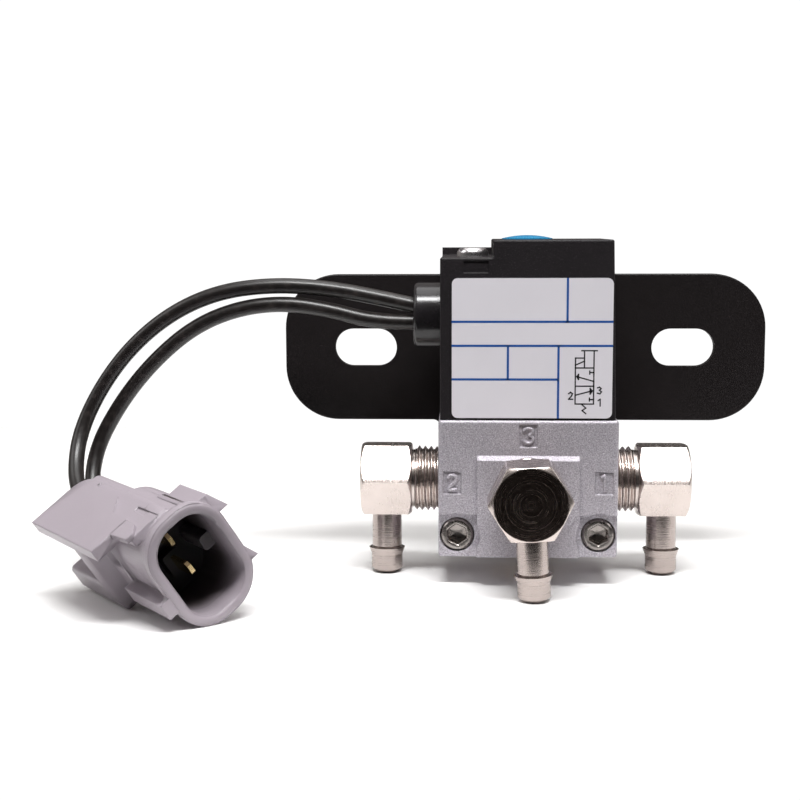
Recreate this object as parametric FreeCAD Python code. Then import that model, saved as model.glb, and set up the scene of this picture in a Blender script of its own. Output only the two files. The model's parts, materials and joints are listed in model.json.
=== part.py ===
"""Boost control solenoid: a three-port valve with elbow fittings, bracket and wired connector.

Millimetres. The origin is the middle of the bracket's back face, half way between its slots.
X runs to the valve's right, Y runs back through the bracket, Z runs up.
"""
import FreeCAD
import Part
import math
import os

from FreeCAD import Placement, Rotation, Vector

X = Vector(1, 0, 0)
Y = Vector(0, 1, 0)
Z = Vector(0, 0, 1)

# Clearances
RUNNING = 0.05        # radial, between a moving piece and its guide
SEATED = 0.02         # radial, between pieces that stay put
TOUCH = 0.03          # end to end, between pieces that push each other
SPARE = 1.0           # how far a cutting or joining shape runs past the face it crosses

# Bracket plate
PLATE_WIDTH = 80.0
PLATE_HEIGHT = 24.5
PLATE_THICK = 1.6
PLATE_CORNER_R = 9.0
SLOT_SPACING = 52.9
SLOT_LENGTH = 10.4
SLOT_WIDTH = 6.3
TAB_WIDTH = 27.9
TAB_CORNER_R = 3.0
TAB_FILLET_R = 1.2
TAB_SHORT = 0.6       # how far the tab stops above the body's bottom
PLATE_EDGE_R = 0.25

# Valve body
BODY_WIDTH = 27.6
BODY_HEIGHT = 21.55
BODY_DEPTH = 21.9
BODY_EDGE_R = 0.55
PORT_BELOW_SLOTS = 20.3
PORT_ABOVE_BOTTOM = 10.55
PORT_FROM_FRONT = 11.0
BOSS_WIDTH = 15.7
BOSS_ABOVE_PORT = 5.45
BOSS_PROUD = 0.8
BOSS_SLOPE = 0.6
NUMERAL_WIDTH = 2.8
NUMERAL_HEIGHT = 3.5
NUMERAL_DEPTH = 0.3
NUMERAL_FROM_SIDE = 2.14   # from the body's side to a side numeral's middle
NUMERAL_SIDE_Z = 1.25   # above the port line
NUMERAL_TOP_Z = 8.55

# Screws through the body into the bracket
CAP_FROM_SIDE = 2.9
CAP_ABOVE_BOTTOM = 3.5
CAP_HEAD_R = 2.6
CAP_HEAD_LONG = 3.4
CAP_SHANK_R = 1.75
CAP_HEX = 2.78
CAP_HEX_DEPTH = 1.8
CAP_HEAD_SUNK = 3.2     # below the pocket's floor
CAP_HEAD_GAP = 0.1
CAP_EDGE = 0.3
POCKET_DEPTH = 1.0
POCKET_ROUND_R = 3.55
POCKET_SIDE = 3.0       # from the screw's centre to the pocket's straight side
POCKET_TOP = 3.25       # from the screw's centre to the pocket's top
CAP_TIP_SHORT = 0.1     # the screws end this far inside the bracket's back face

# Elbow fittings
HEX_ACROSS = 11.11
HEX_LENGTH = 8.15
HEX_END_R = 5.42
HEX_END_ANGLE = 30.0
THREAD_R = 5.15
THREAD_TAPER = 1.0 / 32.0
THREAD_PITCH = 0.94
THREAD_DEPTH = 0.5
THREAD_NECK_R = 4.5
THREAD_NECK = 0.45
THREAD_CREST_FROM = 0.4 # the crest's flat, as shares of the pitch
THREAD_CREST_TO = 0.6
THREAD_IN = 6.4
FITTING_BORE_R = 1.6
SHOWN_LEFT = 4.4        # from the body's side to the hexagon
SHOWN_RIGHT = 3.9
SHOWN_FRONT = 3.3
CLOCK_LEFT = -2.5       # degrees that each elbow is turned about its port
CLOCK_RIGHT = 2.0
CLOCK_FRONT = -2.9
TAP_DEPTH = 7.4

# Hose barbs
BARB_FROM_END = 4.0
BARB_R = 2.38
BARB_BORE_R = 1.55
BARB_REACH = 15.2       # from the port line to the barb's end
BARB_TIP_LONG = 4.0
BARB_RING_R = 2.92
BARB_RING_LONG = 1.1
BARB_TIP_R = 2.5
BARB_END_CHAMFER = 0.65
BARB_SINK = 3.0         # how deep a barb sits in its elbow

# Air passages
VALVE_BORE_R = 4.6
PASSAGE_R = 1.1
PASSAGE_STEP = 3.8      # height between one port's passage and the next

# Coil housing
CASE_LEFT = 13.55
CASE_RIGHT = 13.3
CASE_RIGHT_TOP = 12.7
CASE_FRONT_INSET = 0.25
CASE_BACK_INSET = 0.3
CASE_HEIGHT = 27.4
CASE_STEP_X = -5.5
CASE_STEP_DOWN = 2.65
CASE_LIP_THICK = 1.6
CASE_LIP_HIGH = 1.25
CASE_WALL = 1.3
CASE_STEP_WALL = 0.8
CASE_TOP_WALL = 1.5
CASE_EDGE_R = 0.3
RELIEF_WIDTH = 3.8
RELIEF_HEIGHT = 1.8
RELIEF_DEPTH = 0.2
RELIEF_X = -8.1
RELIEF_BELOW_STEP = 0.5

# Label
LABEL_WIDTH = 24.4
LABEL_HEIGHT = 21.35
LABEL_THICK = 0.15
LABEL_CORNER_R = 0.9
LABEL_X = 0.45
LABEL_ABOVE_BODY = 0.3

# Coil frame, bobbin and core
FRAME_HALF_WIDTH = 11.2
FRAME_HALF_DEPTH = 8.6
FRAME_THICK = 1.6
FRAME_BEND_R = 1.3
FRAME_TOP_GAP = 0.15    # under the lower step of the housing
BOBBIN_WALL = 0.9
BOBBIN_FLANGE_R = 8.3
BOBBIN_FLANGE = 1.0
WINDING_R = 7.9
TUBE_R = 4.2
TUBE_WALL = 0.3
TUBE_TOP_ABOVE_FRAME = 0.4
TUBE_TOP_THICK = 0.5
STROKE = 0.8
POLE_TOP = 9.8          # above the body's top
POLE_FLANGE_R = 6.0
POLE_FLANGE = 1.2
POLE_NOSE = 6.0         # how far the pole reaches down the valve bore
PIN_R = 0.95
ARMATURE_TOP_GAP = 0.17 # under the tube's roof
PIN_IN_ARMATURE = 3.0
FRAME_SCREW_X = 6.9
FRAME_SCREW_Y = 7.2
FRAME_SCREW_R = 1.0
FRAME_SCREW_HEAD_R = 1.7
FRAME_SCREW_HEAD = 1.6
FRAME_SCREW_HEX = 1.5
FRAME_SCREW_HEX_DEPTH = 1.0

# Poppet and seats, heights from the port line
SEAT_FACE = 1.35
SEAT_THICK = 1.3
SEAT_HOLE_R = 1.9
POPPET_R = 3.3
POPPET_SEAL = 0.4
STEM_R = 1.2
STEM_TOP = 2.9
CUP_TOP = 3.2           # below the port line
CUP_THICK = 0.7
CUP_R = 3.1
BOTTOM_PLUG_THICK = 2.8
BOTTOM_PLUG_RECESS = 0.2
BOTTOM_SLOT_LONG = 4.4
BOTTOM_SLOT_WIDTH = 0.8
BOTTOM_SLOT_DEPTH = 0.5
RING_R = 0.55
GROOVE_WIDTH = 1.3
RETURN_COIL_R = 2.4
RETURN_WIRE_R = 0.28
RETURN_TURNS = 3.0

# Manual button
BUTTON_R = 4.0
BUTTON_HOLE_GAP = 0.08
BUTTON_PROUD = 0.15
BUTTON_DOME = 0.5
BUTTON_FLANGE_R = 4.55
BUTTON_FLANGE = 0.6
BUTTON_STEM_R = 1.5
BUTTON_COIL_R = 2.9
BUTTON_WIRE_R = 0.2
BUTTON_TURNS = 2.0

# Housing screw
PAN_X = -8.6
PAN_FROM_FRONT = 9.0
PAN_R = 2.45
PAN_HEIGHT = 1.4
PAN_SHANK_R = 1.25
PAN_SHANK = 3.2
PAN_SLOT_WIDTH = 0.75
PAN_SLOT_DEPTH = 0.6
PAN_DOME_R = 0.95
PAN_TURN = 35.0         # degrees from the slot's direction to X

# Lead collar on the housing's left side
COLLAR_R = 5.15
COLLAR_LONG = 4.35
COLLAR_WALL = 0.95
COLLAR_EDGE_R = 0.7
COLLAR_ABOVE_BODY = 15.4
COLLAR_SPIGOT_R = 3.6
COLLAR_BORE_R = 2.6
COLLAR_FLOOR = 1.0
SEAL_RECESS = 0.5

# Leads
LEAD_R = 1.25
LEAD_OUTER = [
    (-17.4, -12.5, 7.55), (-24.9, -12.4, 9.2), (-32.6, -12.1, 10.5), (-41.0, -11.7, 10.9),
    (-49.5, -11.2, 9.8), (-57.2, -10.8, 6.5), (-64.0, -10.6, 1.1), (-69.38, -10.64, -5.79),
    (-72.75, -12.39, -13.3), (-72.37, -17.18, -19.59), (-69.51, -22.63, -22.71), (-65.09, -27.9, -22.95),
]
LEAD_INNER = [
    (-17.4, -12.5, 4.95), (-24.3, -12.4, 5.0), (-31.2, -12.2, 6.9), (-38.6, -11.8, 8.0),
    (-46.2, -11.3, 7.2), (-53.7, -10.7, 4.2), (-60.7, -10.4, -1.6), (-66.56, -9.75, -8.64),
    (-70.62, -10.9, -16.36), (-70.35, -15.25, -23.43), (-67.3, -20.35, -27.21), (-62.77, -25.75, -27.46),
]

# Connector, lying on the floor beside the valve; its own axes are width, rearward, height
PLUG_MOUTH = (-46.52, -47.57, -26.15)
PLUG_HEADING = 40.0
PLUG_NOSE_UP = -2.0
PLUG_ROLL = 55.0
PLUG_LEFT = -8.0
PLUG_RIGHT = 9.2
PLUG_LOW = -5.9
PLUG_HIGH = 6.25
PLUG_CORNER_R = 5.25
PLUG_WALL = 1.0
PLUG_RIM = 0.5          # how far the rim stands out round the mouth
PLUG_RIM_LONG = 1.4
PLUG_SOCKET_DEPTH = 12.5
PLUG_SLEEVE_LONG = 15.5
PLUG_LONG = 27.7
PLUG_BODY_LEFT = -7.6
PLUG_BODY_RIGHT = 6.35
PLUG_BODY_LOW = -6.45
PLUG_BODY_HIGH = 3.45
PLUG_BODY_START = 10.0
PLUG_BODY_R = 1.2
PLUG_SMALL_R = 0.8
PLATE_FACE = -8.8       # the side plate's outer face
PLATE_ROOT = -6.9
PLATE_LOW = -9.4
PLATE_HIGH = 1.2
PLATE_START = 7.3
PLATE_BACK_R = 3.0
PAD_STEP = 0.5          # how far the pad beside the plate lies under the plate's face
PAD_START = 3.0
PAD_LOW = -5.0
PAD_HIGH = 1.6
LEG_START = 14.5
LEG_END = 18.5
FOOT_LEFT = 2.0
FOOT_LOW = -8.7
FOOT_START = 15.0
FOOT_END = 29.5
RAIL_LEFT = 0.9
RAIL_RIGHT = 3.6
RAIL_LOW = -7.9
WINDOW_LEFT = -5.6
WINDOW_RIGHT = -1.6
WINDOW_START = 10.4
WINDOW_END = 13.9
WINDOW_DEPTH = 0.95
FIN_START = 0.9
FIN_LONG = 7.7
FIN_TOP = [(-7.7, 3.0), (-7.7, 6.35), (-3.2, 8.55), (-3.2, 6.9), (-4.2, 5.0)]
FIN_RIGHT = [(2.6, 5.0), (2.6, 6.65), (6.1, 8.15), (6.1, 6.9), (6.3, 4.6)]
POLE_SPACING = 5.5
CAVITY_R = 2.35
CAVITY_DEPTH = 7.0
BLADE_WIDTH = 2.3
BLADE_THICK = 0.64
BLADE_TIP_DEPTH = 5.0
BLADE_TIP_CHAMFER = 0.5
BLADE_LONG = 15.5
RETAINER_LEFT = -6.0
RETAINER_RIGHT = -2.4
RETAINER_START = 19.2
RETAINER_END = 25.2
RETAINER_THICK = 1.4
RETAINER_SINK = 0.7
WIRE_SEAL_LONG = 5.0
WIRE_SEAL_RECESS = 0.6

# Places that follow from the sizes
PORT_Z = -PORT_BELOW_SLOTS
BODY_BACK = -PLATE_THICK
BODY_FRONT = BODY_BACK - BODY_DEPTH
BODY_BOTTOM = PORT_Z - PORT_ABOVE_BOTTOM
BODY_TOP = BODY_BOTTOM + BODY_HEIGHT
HALF_BODY = BODY_WIDTH / 2
AXIS_Y = BODY_FRONT + PORT_FROM_FRONT
CAP_X = HALF_BODY - CAP_FROM_SIDE
CAP_Z = BODY_BOTTOM + CAP_ABOVE_BOTTOM
NUMERAL_SIDE_X = HALF_BODY - NUMERAL_FROM_SIDE
CASE_FRONT = BODY_FRONT + CASE_FRONT_INSET
CASE_BACK = BODY_BACK - CASE_BACK_INSET
CASE_TOP = BODY_TOP + CASE_HEIGHT
STEP_TOP = CASE_TOP - CASE_STEP_DOWN
STEP_UNDER = STEP_TOP - CASE_TOP_WALL
TOP_UNDER = CASE_TOP - CASE_TOP_WALL
FRAME_TOP = STEP_UNDER - FRAME_TOP_GAP
FRAME_CEILING = FRAME_TOP - FRAME_THICK
FRAME_FLOOR = BODY_TOP + FRAME_THICK
TUBE_TOP = FRAME_TOP + TUBE_TOP_ABOVE_FRAME
TUBE_BORE_R = TUBE_R - TUBE_WALL
POLE_R = TUBE_BORE_R - SEATED
POLE_END = BODY_TOP + POLE_TOP
ARMATURE_LOW = POLE_END + STROKE + TOUCH
ARMATURE_TOP = TUBE_TOP - TUBE_TOP_THICK - ARMATURE_TOP_GAP
POLE_LOW = BODY_TOP - POLE_NOSE
BOTTOM_PLUG_TOP = BODY_BOTTOM + BOTTOM_PLUG_RECESS + BOTTOM_PLUG_THICK
PAN_Y = CASE_FRONT + PAN_FROM_FRONT
COLLAR_Z = BODY_TOP + COLLAR_ABOVE_BODY


def box(x0, x1, y0, y1, z0, z1):
    """A box between two corners."""
    return Part.makeBox(x1 - x0, y1 - y0, z1 - z0, Vector(x0, y0, z0))


def rod(radius, start, along, length):
    """A cylinder from a start point."""
    return Part.makeCylinder(radius, length, Vector(*start), along)


def turned(profile):
    """A turned piece about Z from (radius, height) points."""
    points = [Vector(radius, 0, height) for radius, height in profile]
    face = Part.Face(Part.makePolygon(points + points[:1]))
    return face.revolve(Vector(0, 0, 0), Z, 360)


def prism(outline, place, along, length):
    """A straight piece from a flat outline, whose points place() turns into vectors."""
    points = [place(a, b) for a, b in outline]
    return Part.Face(Part.makePolygon(points + points[:1])).extrude(along * length)


def hexagon(across, length):
    """A hexagon bar along Z with two flats facing Y."""
    corner = across / math.sqrt(3)
    points = []
    for step in range(6):
        angle = math.radians(60 * step)
        points.append((corner * math.cos(angle), corner * math.sin(angle)))
    return prism(points, lambda a, b: Vector(a, b, 0), Z, length)


def rounded(shape, radius, along):
    """The same shape with its straight edges along one direction rounded."""
    edges = [e for e in shape.Edges
             if isinstance(e.Curve, Part.Line) and abs(e.Curve.Direction.dot(along)) > 0.999]
    return shape.makeFillet(radius, edges)


def placed(shape, spot, turn):
    """A copy of a shape that is turned and then moved to a spot."""
    copy = shape.copy()
    copy.Placement = Placement(Vector(*spot), turn).multiply(shape.Placement)
    return copy


def ring(outer, inner, low, high):
    """A flat ring about the valve's axis."""
    return turned([(inner, low), (outer, low), (outer, high), (inner, high)]).translated(
        Vector(0, AXIS_Y, 0))


def o_ring(centre_r, height):
    """A rubber ring about the valve's axis."""
    return Part.makeTorus(centre_r, RING_R, Vector(0, AXIS_Y, height), Z)


def coil_spring(coil_r, wire_r, low, high, turns):
    """A spring of round wire that stands on low and reaches high."""
    rise = high - low - 2 * wire_r
    helix = Part.makeHelix(rise / turns, rise, coil_r)
    section = Part.Wire([Part.makeCircle(wire_r, Vector(coil_r, 0, 0), Y)])
    spring = Part.Wire(helix.Edges).makePipeShell([section], True, True)
    return spring.translated(Vector(0, AXIS_Y, low + wire_r))


# Bracket

def bracket():
    """One flat plate: a wide slotted bar with a tab that runs down behind the body."""
    low = -PLATE_HEIGHT / 2
    bar = box(-PLATE_WIDTH / 2, PLATE_WIDTH / 2, -PLATE_THICK, 0, low, -low)
    bar = rounded(bar, PLATE_CORNER_R, Y)
    tab_low = BODY_BOTTOM + TAB_SHORT
    tab = box(-TAB_WIDTH / 2, TAB_WIDTH / 2, -PLATE_THICK, 0, tab_low, 0)
    bottom_edges = [e for e in tab.Edges
                    if e.BoundBox.ZMax < tab_low + 0.01 and e.BoundBox.YLength > PLATE_THICK / 2]
    tab = tab.makeFillet(TAB_CORNER_R, bottom_edges)
    plate = bar.fuse(tab).removeSplitter()
    inner = [e for e in plate.Edges
             if e.BoundBox.YLength > PLATE_THICK / 2 and e.BoundBox.XLength < 0.01
             and abs(abs(e.BoundBox.XMin) - TAB_WIDTH / 2) < 0.01
             and abs(e.BoundBox.ZMin - low) < 0.01]
    plate = plate.makeFillet(TAB_FILLET_R, inner)
    rim = [e for e in plate.Edges if e.BoundBox.YLength < 0.01]
    plate = plate.makeFillet(PLATE_EDGE_R, rim)
    for side in (-1, 1):
        middle = side * SLOT_SPACING / 2
        reach = (SLOT_LENGTH - SLOT_WIDTH) / 2
        plate = plate.cut(box(middle - reach, middle + reach, -PLATE_THICK, 0, -SLOT_WIDTH / 2, SLOT_WIDTH / 2))
        for end in (middle - reach, middle + reach):
            plate = plate.cut(rod(SLOT_WIDTH / 2, (end, -PLATE_THICK, 0), Y, PLATE_THICK))
        plate = plate.cut(rod(CAP_SHANK_R + SEATED, (side * CAP_X, -PLATE_THICK, CAP_Z), Y, PLATE_THICK))
    return plate


# Body

def port_hole():
    """A tapered hole down from the origin along -Z, for one fitting's thread."""
    return turned([(0, 0), (THREAD_R + SEATED, 0),
                   (THREAD_R + SEATED - TAP_DEPTH * THREAD_TAPER, -TAP_DEPTH), (0, -TAP_DEPTH)])


def valve_body():
    """The casting: a block with a sloped boss, pockets, ports, passages and the valve bore."""
    block = box(-HALF_BODY, HALF_BODY, BODY_FRONT, BODY_BACK, BODY_BOTTOM, BODY_TOP)
    block = block.makeFillet(BODY_EDGE_R, block.Edges)
    top = PORT_Z + BOSS_ABOVE_PORT
    face = BODY_FRONT - BOSS_PROUD
    root = BODY_FRONT + BODY_EDGE_R
    low = BODY_BOTTOM + BODY_EDGE_R / 2
    outline = [(root, top), (BODY_FRONT, top), (face, top - BOSS_SLOPE), (face, low), (root, low)]
    boss = prism(outline, lambda a, b: Vector(-BOSS_WIDTH / 2, a, b), X, BOSS_WIDTH)
    block = block.fuse(boss)

    for x, z in ((0, NUMERAL_TOP_Z), (-NUMERAL_SIDE_X, NUMERAL_SIDE_Z), (NUMERAL_SIDE_X, NUMERAL_SIDE_Z)):
        z += PORT_Z
        block = block.cut(box(x - NUMERAL_WIDTH / 2, x + NUMERAL_WIDTH / 2, BODY_FRONT - SPARE,
                              BODY_FRONT + NUMERAL_DEPTH, z - NUMERAL_HEIGHT / 2, z + NUMERAL_HEIGHT / 2))
    for side in (-1, 1):
        block = block.cut(screw_pocket(side))
        block = block.cut(rod(CAP_SHANK_R + SEATED, (side * CAP_X, BODY_FRONT, CAP_Z), Y, BODY_DEPTH))
        for back in (-1, 1):
            spot = (side * FRAME_SCREW_X, AXIS_Y + back * FRAME_SCREW_Y, BODY_BOTTOM)
            block = block.cut(rod(FRAME_SCREW_R + SEATED, spot, Z, BODY_HEIGHT))
            block = block.cut(rod(FRAME_SCREW_HEAD_R + SEATED, spot, Z, FRAME_SCREW_HEAD + BOTTOM_PLUG_RECESS))

    block = block.cut(placed(port_hole(), (-HALF_BODY, AXIS_Y, PORT_Z), Rotation(Z, -X)))
    block = block.cut(placed(port_hole(), (HALF_BODY, AXIS_Y, PORT_Z), Rotation(Z, X)))
    block = block.cut(placed(port_hole(), (0, BODY_FRONT, PORT_Z), Rotation(Z, -Y)))
    boss_hole = THREAD_R + SEATED + BOSS_PROUD * THREAD_TAPER
    block = block.cut(rod(boss_hole, (0, face, PORT_Z), Y, BOSS_PROUD))

    reach = HALF_BODY - TAP_DEPTH + SPARE
    block = block.cut(rod(PASSAGE_R, (0, AXIS_Y, PORT_Z), -X, reach))
    block = block.cut(rod(PASSAGE_R, (0, AXIS_Y, PORT_Z - PASSAGE_STEP), X, reach))
    front_reach = PORT_FROM_FRONT - TAP_DEPTH + SPARE
    block = block.cut(rod(PASSAGE_R, (0, AXIS_Y, PORT_Z + PASSAGE_STEP), -Y, front_reach))
    block = block.cut(rod(VALVE_BORE_R, (0, AXIS_Y, BODY_BOTTOM), Z, BODY_HEIGHT))
    flange = rod(POLE_FLANGE_R + SEATED, (0, AXIS_Y, BODY_TOP - POLE_FLANGE), Z, POLE_FLANGE)
    return block.cut(flange).removeSplitter()


def screw_pocket(side):
    """A shallow corner pocket round one screw head, open to the body's side and bottom."""
    x = side * CAP_X
    inner = x - side * POCKET_SIDE
    outer = side * (HALF_BODY + SPARE)
    deep = BODY_FRONT + POCKET_DEPTH
    flat = box(min(inner, outer), max(inner, outer), BODY_FRONT - SPARE, deep,
               BODY_BOTTOM - SPARE, CAP_Z + POCKET_TOP)
    round_end = rod(POCKET_ROUND_R, (x, BODY_FRONT - SPARE, CAP_Z), Y, POCKET_DEPTH + SPARE)
    head_bore = rod(CAP_HEAD_R + CAP_HEAD_GAP, (x, deep, CAP_Z), Y, CAP_HEAD_SUNK)
    return flat.fuse(round_end).fuse(head_bore)


def cap_screws():
    """Two socket head screws, from the pockets back into the bracket's tapped tab."""
    shank = BODY_DEPTH - POCKET_DEPTH + PLATE_THICK - CAP_TIP_SHORT
    head = turned([(0, 0), (CAP_HEAD_R, 0), (CAP_HEAD_R, CAP_HEAD_LONG - CAP_EDGE),
                   (CAP_HEAD_R - CAP_EDGE, CAP_HEAD_LONG), (0, CAP_HEAD_LONG)])
    head = head.translated(Vector(0, 0, -CAP_HEAD_SUNK))
    socket = hexagon(CAP_HEX, CAP_HEX_DEPTH).translated(
        Vector(0, 0, CAP_HEAD_LONG - CAP_HEAD_SUNK - CAP_HEX_DEPTH))
    screw = head.fuse(rod(CAP_SHANK_R, (0, 0, -shank), Z, shank)).cut(socket).removeSplitter()
    spots = [(side * CAP_X, BODY_FRONT + POCKET_DEPTH, CAP_Z) for side in (-1, 1)]
    return Part.makeCompound([placed(screw, spot, Rotation(Z, -Y)) for spot in spots])


# Elbow fittings, modelled with the thread pointing up Z and the barb pointing along -Y

def elbow(shown):
    """A hexagon bar with chamfered ends and a tapered thread, drilled for air and for its barb."""
    corner = HEX_ACROSS / math.sqrt(3) + SPARE
    slope = (corner - HEX_END_R) * math.tan(math.radians(HEX_END_ANGLE))
    chamfers = turned([(0, 0), (HEX_END_R, 0), (corner, slope), (corner, HEX_LENGTH - slope),
                       (HEX_END_R, HEX_LENGTH), (0, HEX_LENGTH)])
    bar = hexagon(HEX_ACROSS, HEX_LENGTH).common(chamfers)
    end = HEX_LENGTH + shown + THREAD_IN
    root = HEX_LENGTH - SPARE
    profile = [(0, root), (THREAD_NECK_R, root), (THREAD_NECK_R, HEX_LENGTH + THREAD_NECK)]
    turns = int((shown - THREAD_NECK) / THREAD_PITCH)
    height = HEX_LENGTH + THREAD_NECK
    for turn in range(turns):
        crest = THREAD_R + (HEX_LENGTH + shown - height) * THREAD_TAPER
        profile += [(crest - THREAD_DEPTH, height),
                    (crest, height + THREAD_CREST_FROM * THREAD_PITCH),
                    (crest, height + THREAD_CREST_TO * THREAD_PITCH),
                    (crest - THREAD_DEPTH, height + THREAD_PITCH)]
        height += THREAD_PITCH
    profile += [(THREAD_R, HEX_LENGTH + shown), (THREAD_R - THREAD_IN * THREAD_TAPER, end), (0, end)]
    fitting = bar.fuse(turned(profile)).removeSplitter()
    air = rod(FITTING_BORE_R, (0, 0, BARB_FROM_END), Z, end)
    seat = rod(BARB_R + SEATED, (0, -HEX_ACROSS, BARB_FROM_END), Y, HEX_ACROSS / 2 + BARB_SINK)
    way = rod(BARB_BORE_R, (0, -HEX_ACROSS, BARB_FROM_END), Y, HEX_ACROSS + FITTING_BORE_R)
    return fitting.cut(air).cut(seat).cut(way)


def barb():
    """A short tube with one sharp-backed hose ring and a chamfered end, pointing along -Y."""
    ring_top = BARB_REACH - BARB_TIP_LONG
    sink = HEX_ACROSS / 2 - BARB_SINK
    profile = [(BARB_BORE_R, sink), (BARB_R, sink), (BARB_R, ring_top), (BARB_RING_R, ring_top),
               (BARB_TIP_R, ring_top + BARB_RING_LONG), (BARB_TIP_R, BARB_REACH - BARB_END_CHAMFER),
               (BARB_TIP_R - BARB_END_CHAMFER, BARB_REACH), (BARB_BORE_R, BARB_REACH)]
    return placed(turned(profile), (0, 0, BARB_FROM_END), Rotation(Z, -Y))


def fittings():
    """Each port's elbow: name, thread shown, centre of the hexagon's outer end, how it is turned."""
    left = (-HALF_BODY - SHOWN_LEFT - HEX_LENGTH, AXIS_Y, PORT_Z)
    right = (HALF_BODY + SHOWN_RIGHT + HEX_LENGTH, AXIS_Y, PORT_Z)
    front = (0, BODY_FRONT - SHOWN_FRONT - HEX_LENGTH, PORT_Z)
    ports = (("left", SHOWN_LEFT, left, X, CLOCK_LEFT), ("right", SHOWN_RIGHT, right, -X, CLOCK_RIGHT),
             ("front", SHOWN_FRONT, front, Y, CLOCK_FRONT))
    places = []
    for name, shown, spot, inward, clock in ports:
        straight = Rotation(Z.cross(inward), Z, inward, "ZXY")
        places.append((name, shown, spot, Rotation(inward, clock).multiply(straight)))
    return places


# Coil housing

def coil_housing():
    """The black moulding: an open-bottomed shell with a step, a back lip and three holes."""
    outline = [(-CASE_LEFT, BODY_TOP), (CASE_RIGHT, BODY_TOP), (CASE_RIGHT_TOP, CASE_TOP),
               (CASE_STEP_X, CASE_TOP), (CASE_STEP_X, STEP_TOP), (-CASE_LEFT, STEP_TOP)]
    shell = prism(outline, lambda a, b: Vector(a, CASE_FRONT, b), Y, CASE_BACK - CASE_FRONT)
    shell = shell.makeFillet(CASE_EDGE_R, [e for e in shell.Edges if e.BoundBox.ZMin > BODY_TOP - 0.01
                                           and not e.BoundBox.ZMax < BODY_TOP + 0.01])
    lip = box(-CASE_LEFT, CASE_STEP_X, CASE_BACK - CASE_LIP_THICK, CASE_BACK,
              STEP_TOP - CASE_WALL, STEP_TOP + CASE_LIP_HIGH)
    shell = shell.fuse(lip)
    inner = [(-CASE_LEFT + CASE_WALL, BODY_TOP), (CASE_RIGHT_TOP - CASE_WALL, BODY_TOP),
             (CASE_RIGHT_TOP - CASE_WALL, TOP_UNDER), (CASE_STEP_X + CASE_STEP_WALL, TOP_UNDER),
             (CASE_STEP_X + CASE_STEP_WALL, STEP_UNDER), (-CASE_LEFT + CASE_WALL, STEP_UNDER)]
    hollow = prism(inner, lambda a, b: Vector(a, CASE_FRONT + CASE_WALL, b), Y,
                   CASE_BACK - CASE_FRONT - 2 * CASE_WALL)
    shell = shell.cut(hollow)
    relief_top = STEP_TOP - RELIEF_BELOW_STEP
    shell = shell.cut(box(RELIEF_X - RELIEF_WIDTH / 2, RELIEF_X + RELIEF_WIDTH / 2, CASE_FRONT - SPARE,
                          CASE_FRONT + RELIEF_DEPTH, relief_top - RELIEF_HEIGHT, relief_top))
    button_hole = rod(BUTTON_R + BUTTON_HOLE_GAP, (0, AXIS_Y, TOP_UNDER), Z, CASE_TOP_WALL)
    screw_hole = rod(PAN_SHANK_R + SEATED, (PAN_X, PAN_Y, STEP_UNDER), Z, CASE_TOP_WALL)
    lead_hole = rod(COLLAR_SPIGOT_R + SEATED, (-CASE_LEFT, AXIS_Y, COLLAR_Z), X, CASE_WALL)
    return shell.cut(button_hole).cut(screw_hole).cut(lead_hole).removeSplitter()


def rating_label():
    """A thin sticker on the housing's front face."""
    low = BODY_TOP + LABEL_ABOVE_BODY
    sheet = box(LABEL_X - LABEL_WIDTH / 2, LABEL_X + LABEL_WIDTH / 2,
                CASE_FRONT - LABEL_THICK, CASE_FRONT, low, low + LABEL_HEIGHT)
    return rounded(sheet, LABEL_CORNER_R, Y)


def housing_screw():
    """A slotted pan head screw on the lower step, into the coil frame."""
    head = rod(PAN_R, (0, 0, 0), Z, PAN_HEIGHT)
    head = head.makeFillet(PAN_DOME_R, [e for e in head.Edges if e.BoundBox.ZMin > PAN_HEIGHT / 2])
    slot = box(-PAN_R, PAN_R, -PAN_SLOT_WIDTH / 2, PAN_SLOT_WIDTH / 2,
               PAN_HEIGHT - PAN_SLOT_DEPTH, PAN_HEIGHT + SPARE)
    screw = head.fuse(rod(PAN_SHANK_R, (0, 0, -PAN_SHANK), Z, PAN_SHANK)).cut(slot).removeSplitter()
    return placed(screw, (PAN_X, PAN_Y, STEP_TOP), Rotation(Z, PAN_TURN))


def lead_collar():
    """The ring that the leads come out of, with a spigot through the housing's wall."""
    mouth_r = COLLAR_R - COLLAR_WALL
    profile = [(COLLAR_BORE_R, -CASE_WALL), (COLLAR_SPIGOT_R, -CASE_WALL), (COLLAR_SPIGOT_R, 0),
               (COLLAR_R, 0), (COLLAR_R, COLLAR_LONG), (mouth_r, COLLAR_LONG), (mouth_r, COLLAR_FLOOR),
               (COLLAR_BORE_R, COLLAR_FLOOR)]
    collar = turned(profile)
    rim = [e for e in collar.Edges
           if e.BoundBox.ZMin > COLLAR_LONG - TOUCH and e.BoundBox.XMax > mouth_r + TOUCH]
    collar = collar.makeFillet(COLLAR_EDGE_R, rim)
    return placed(collar, (-CASE_LEFT, AXIS_Y, COLLAR_Z), Rotation(Z, -X))


def lead_seal():
    """The moulded plug inside the collar that both leads leave through."""
    return rod(COLLAR_R - COLLAR_WALL - SEATED, (-CASE_LEFT - COLLAR_FLOOR, AXIS_Y, COLLAR_Z), -X,
               COLLAR_LONG - COLLAR_FLOOR - SEAL_RECESS)


# Coil, core and button

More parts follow.
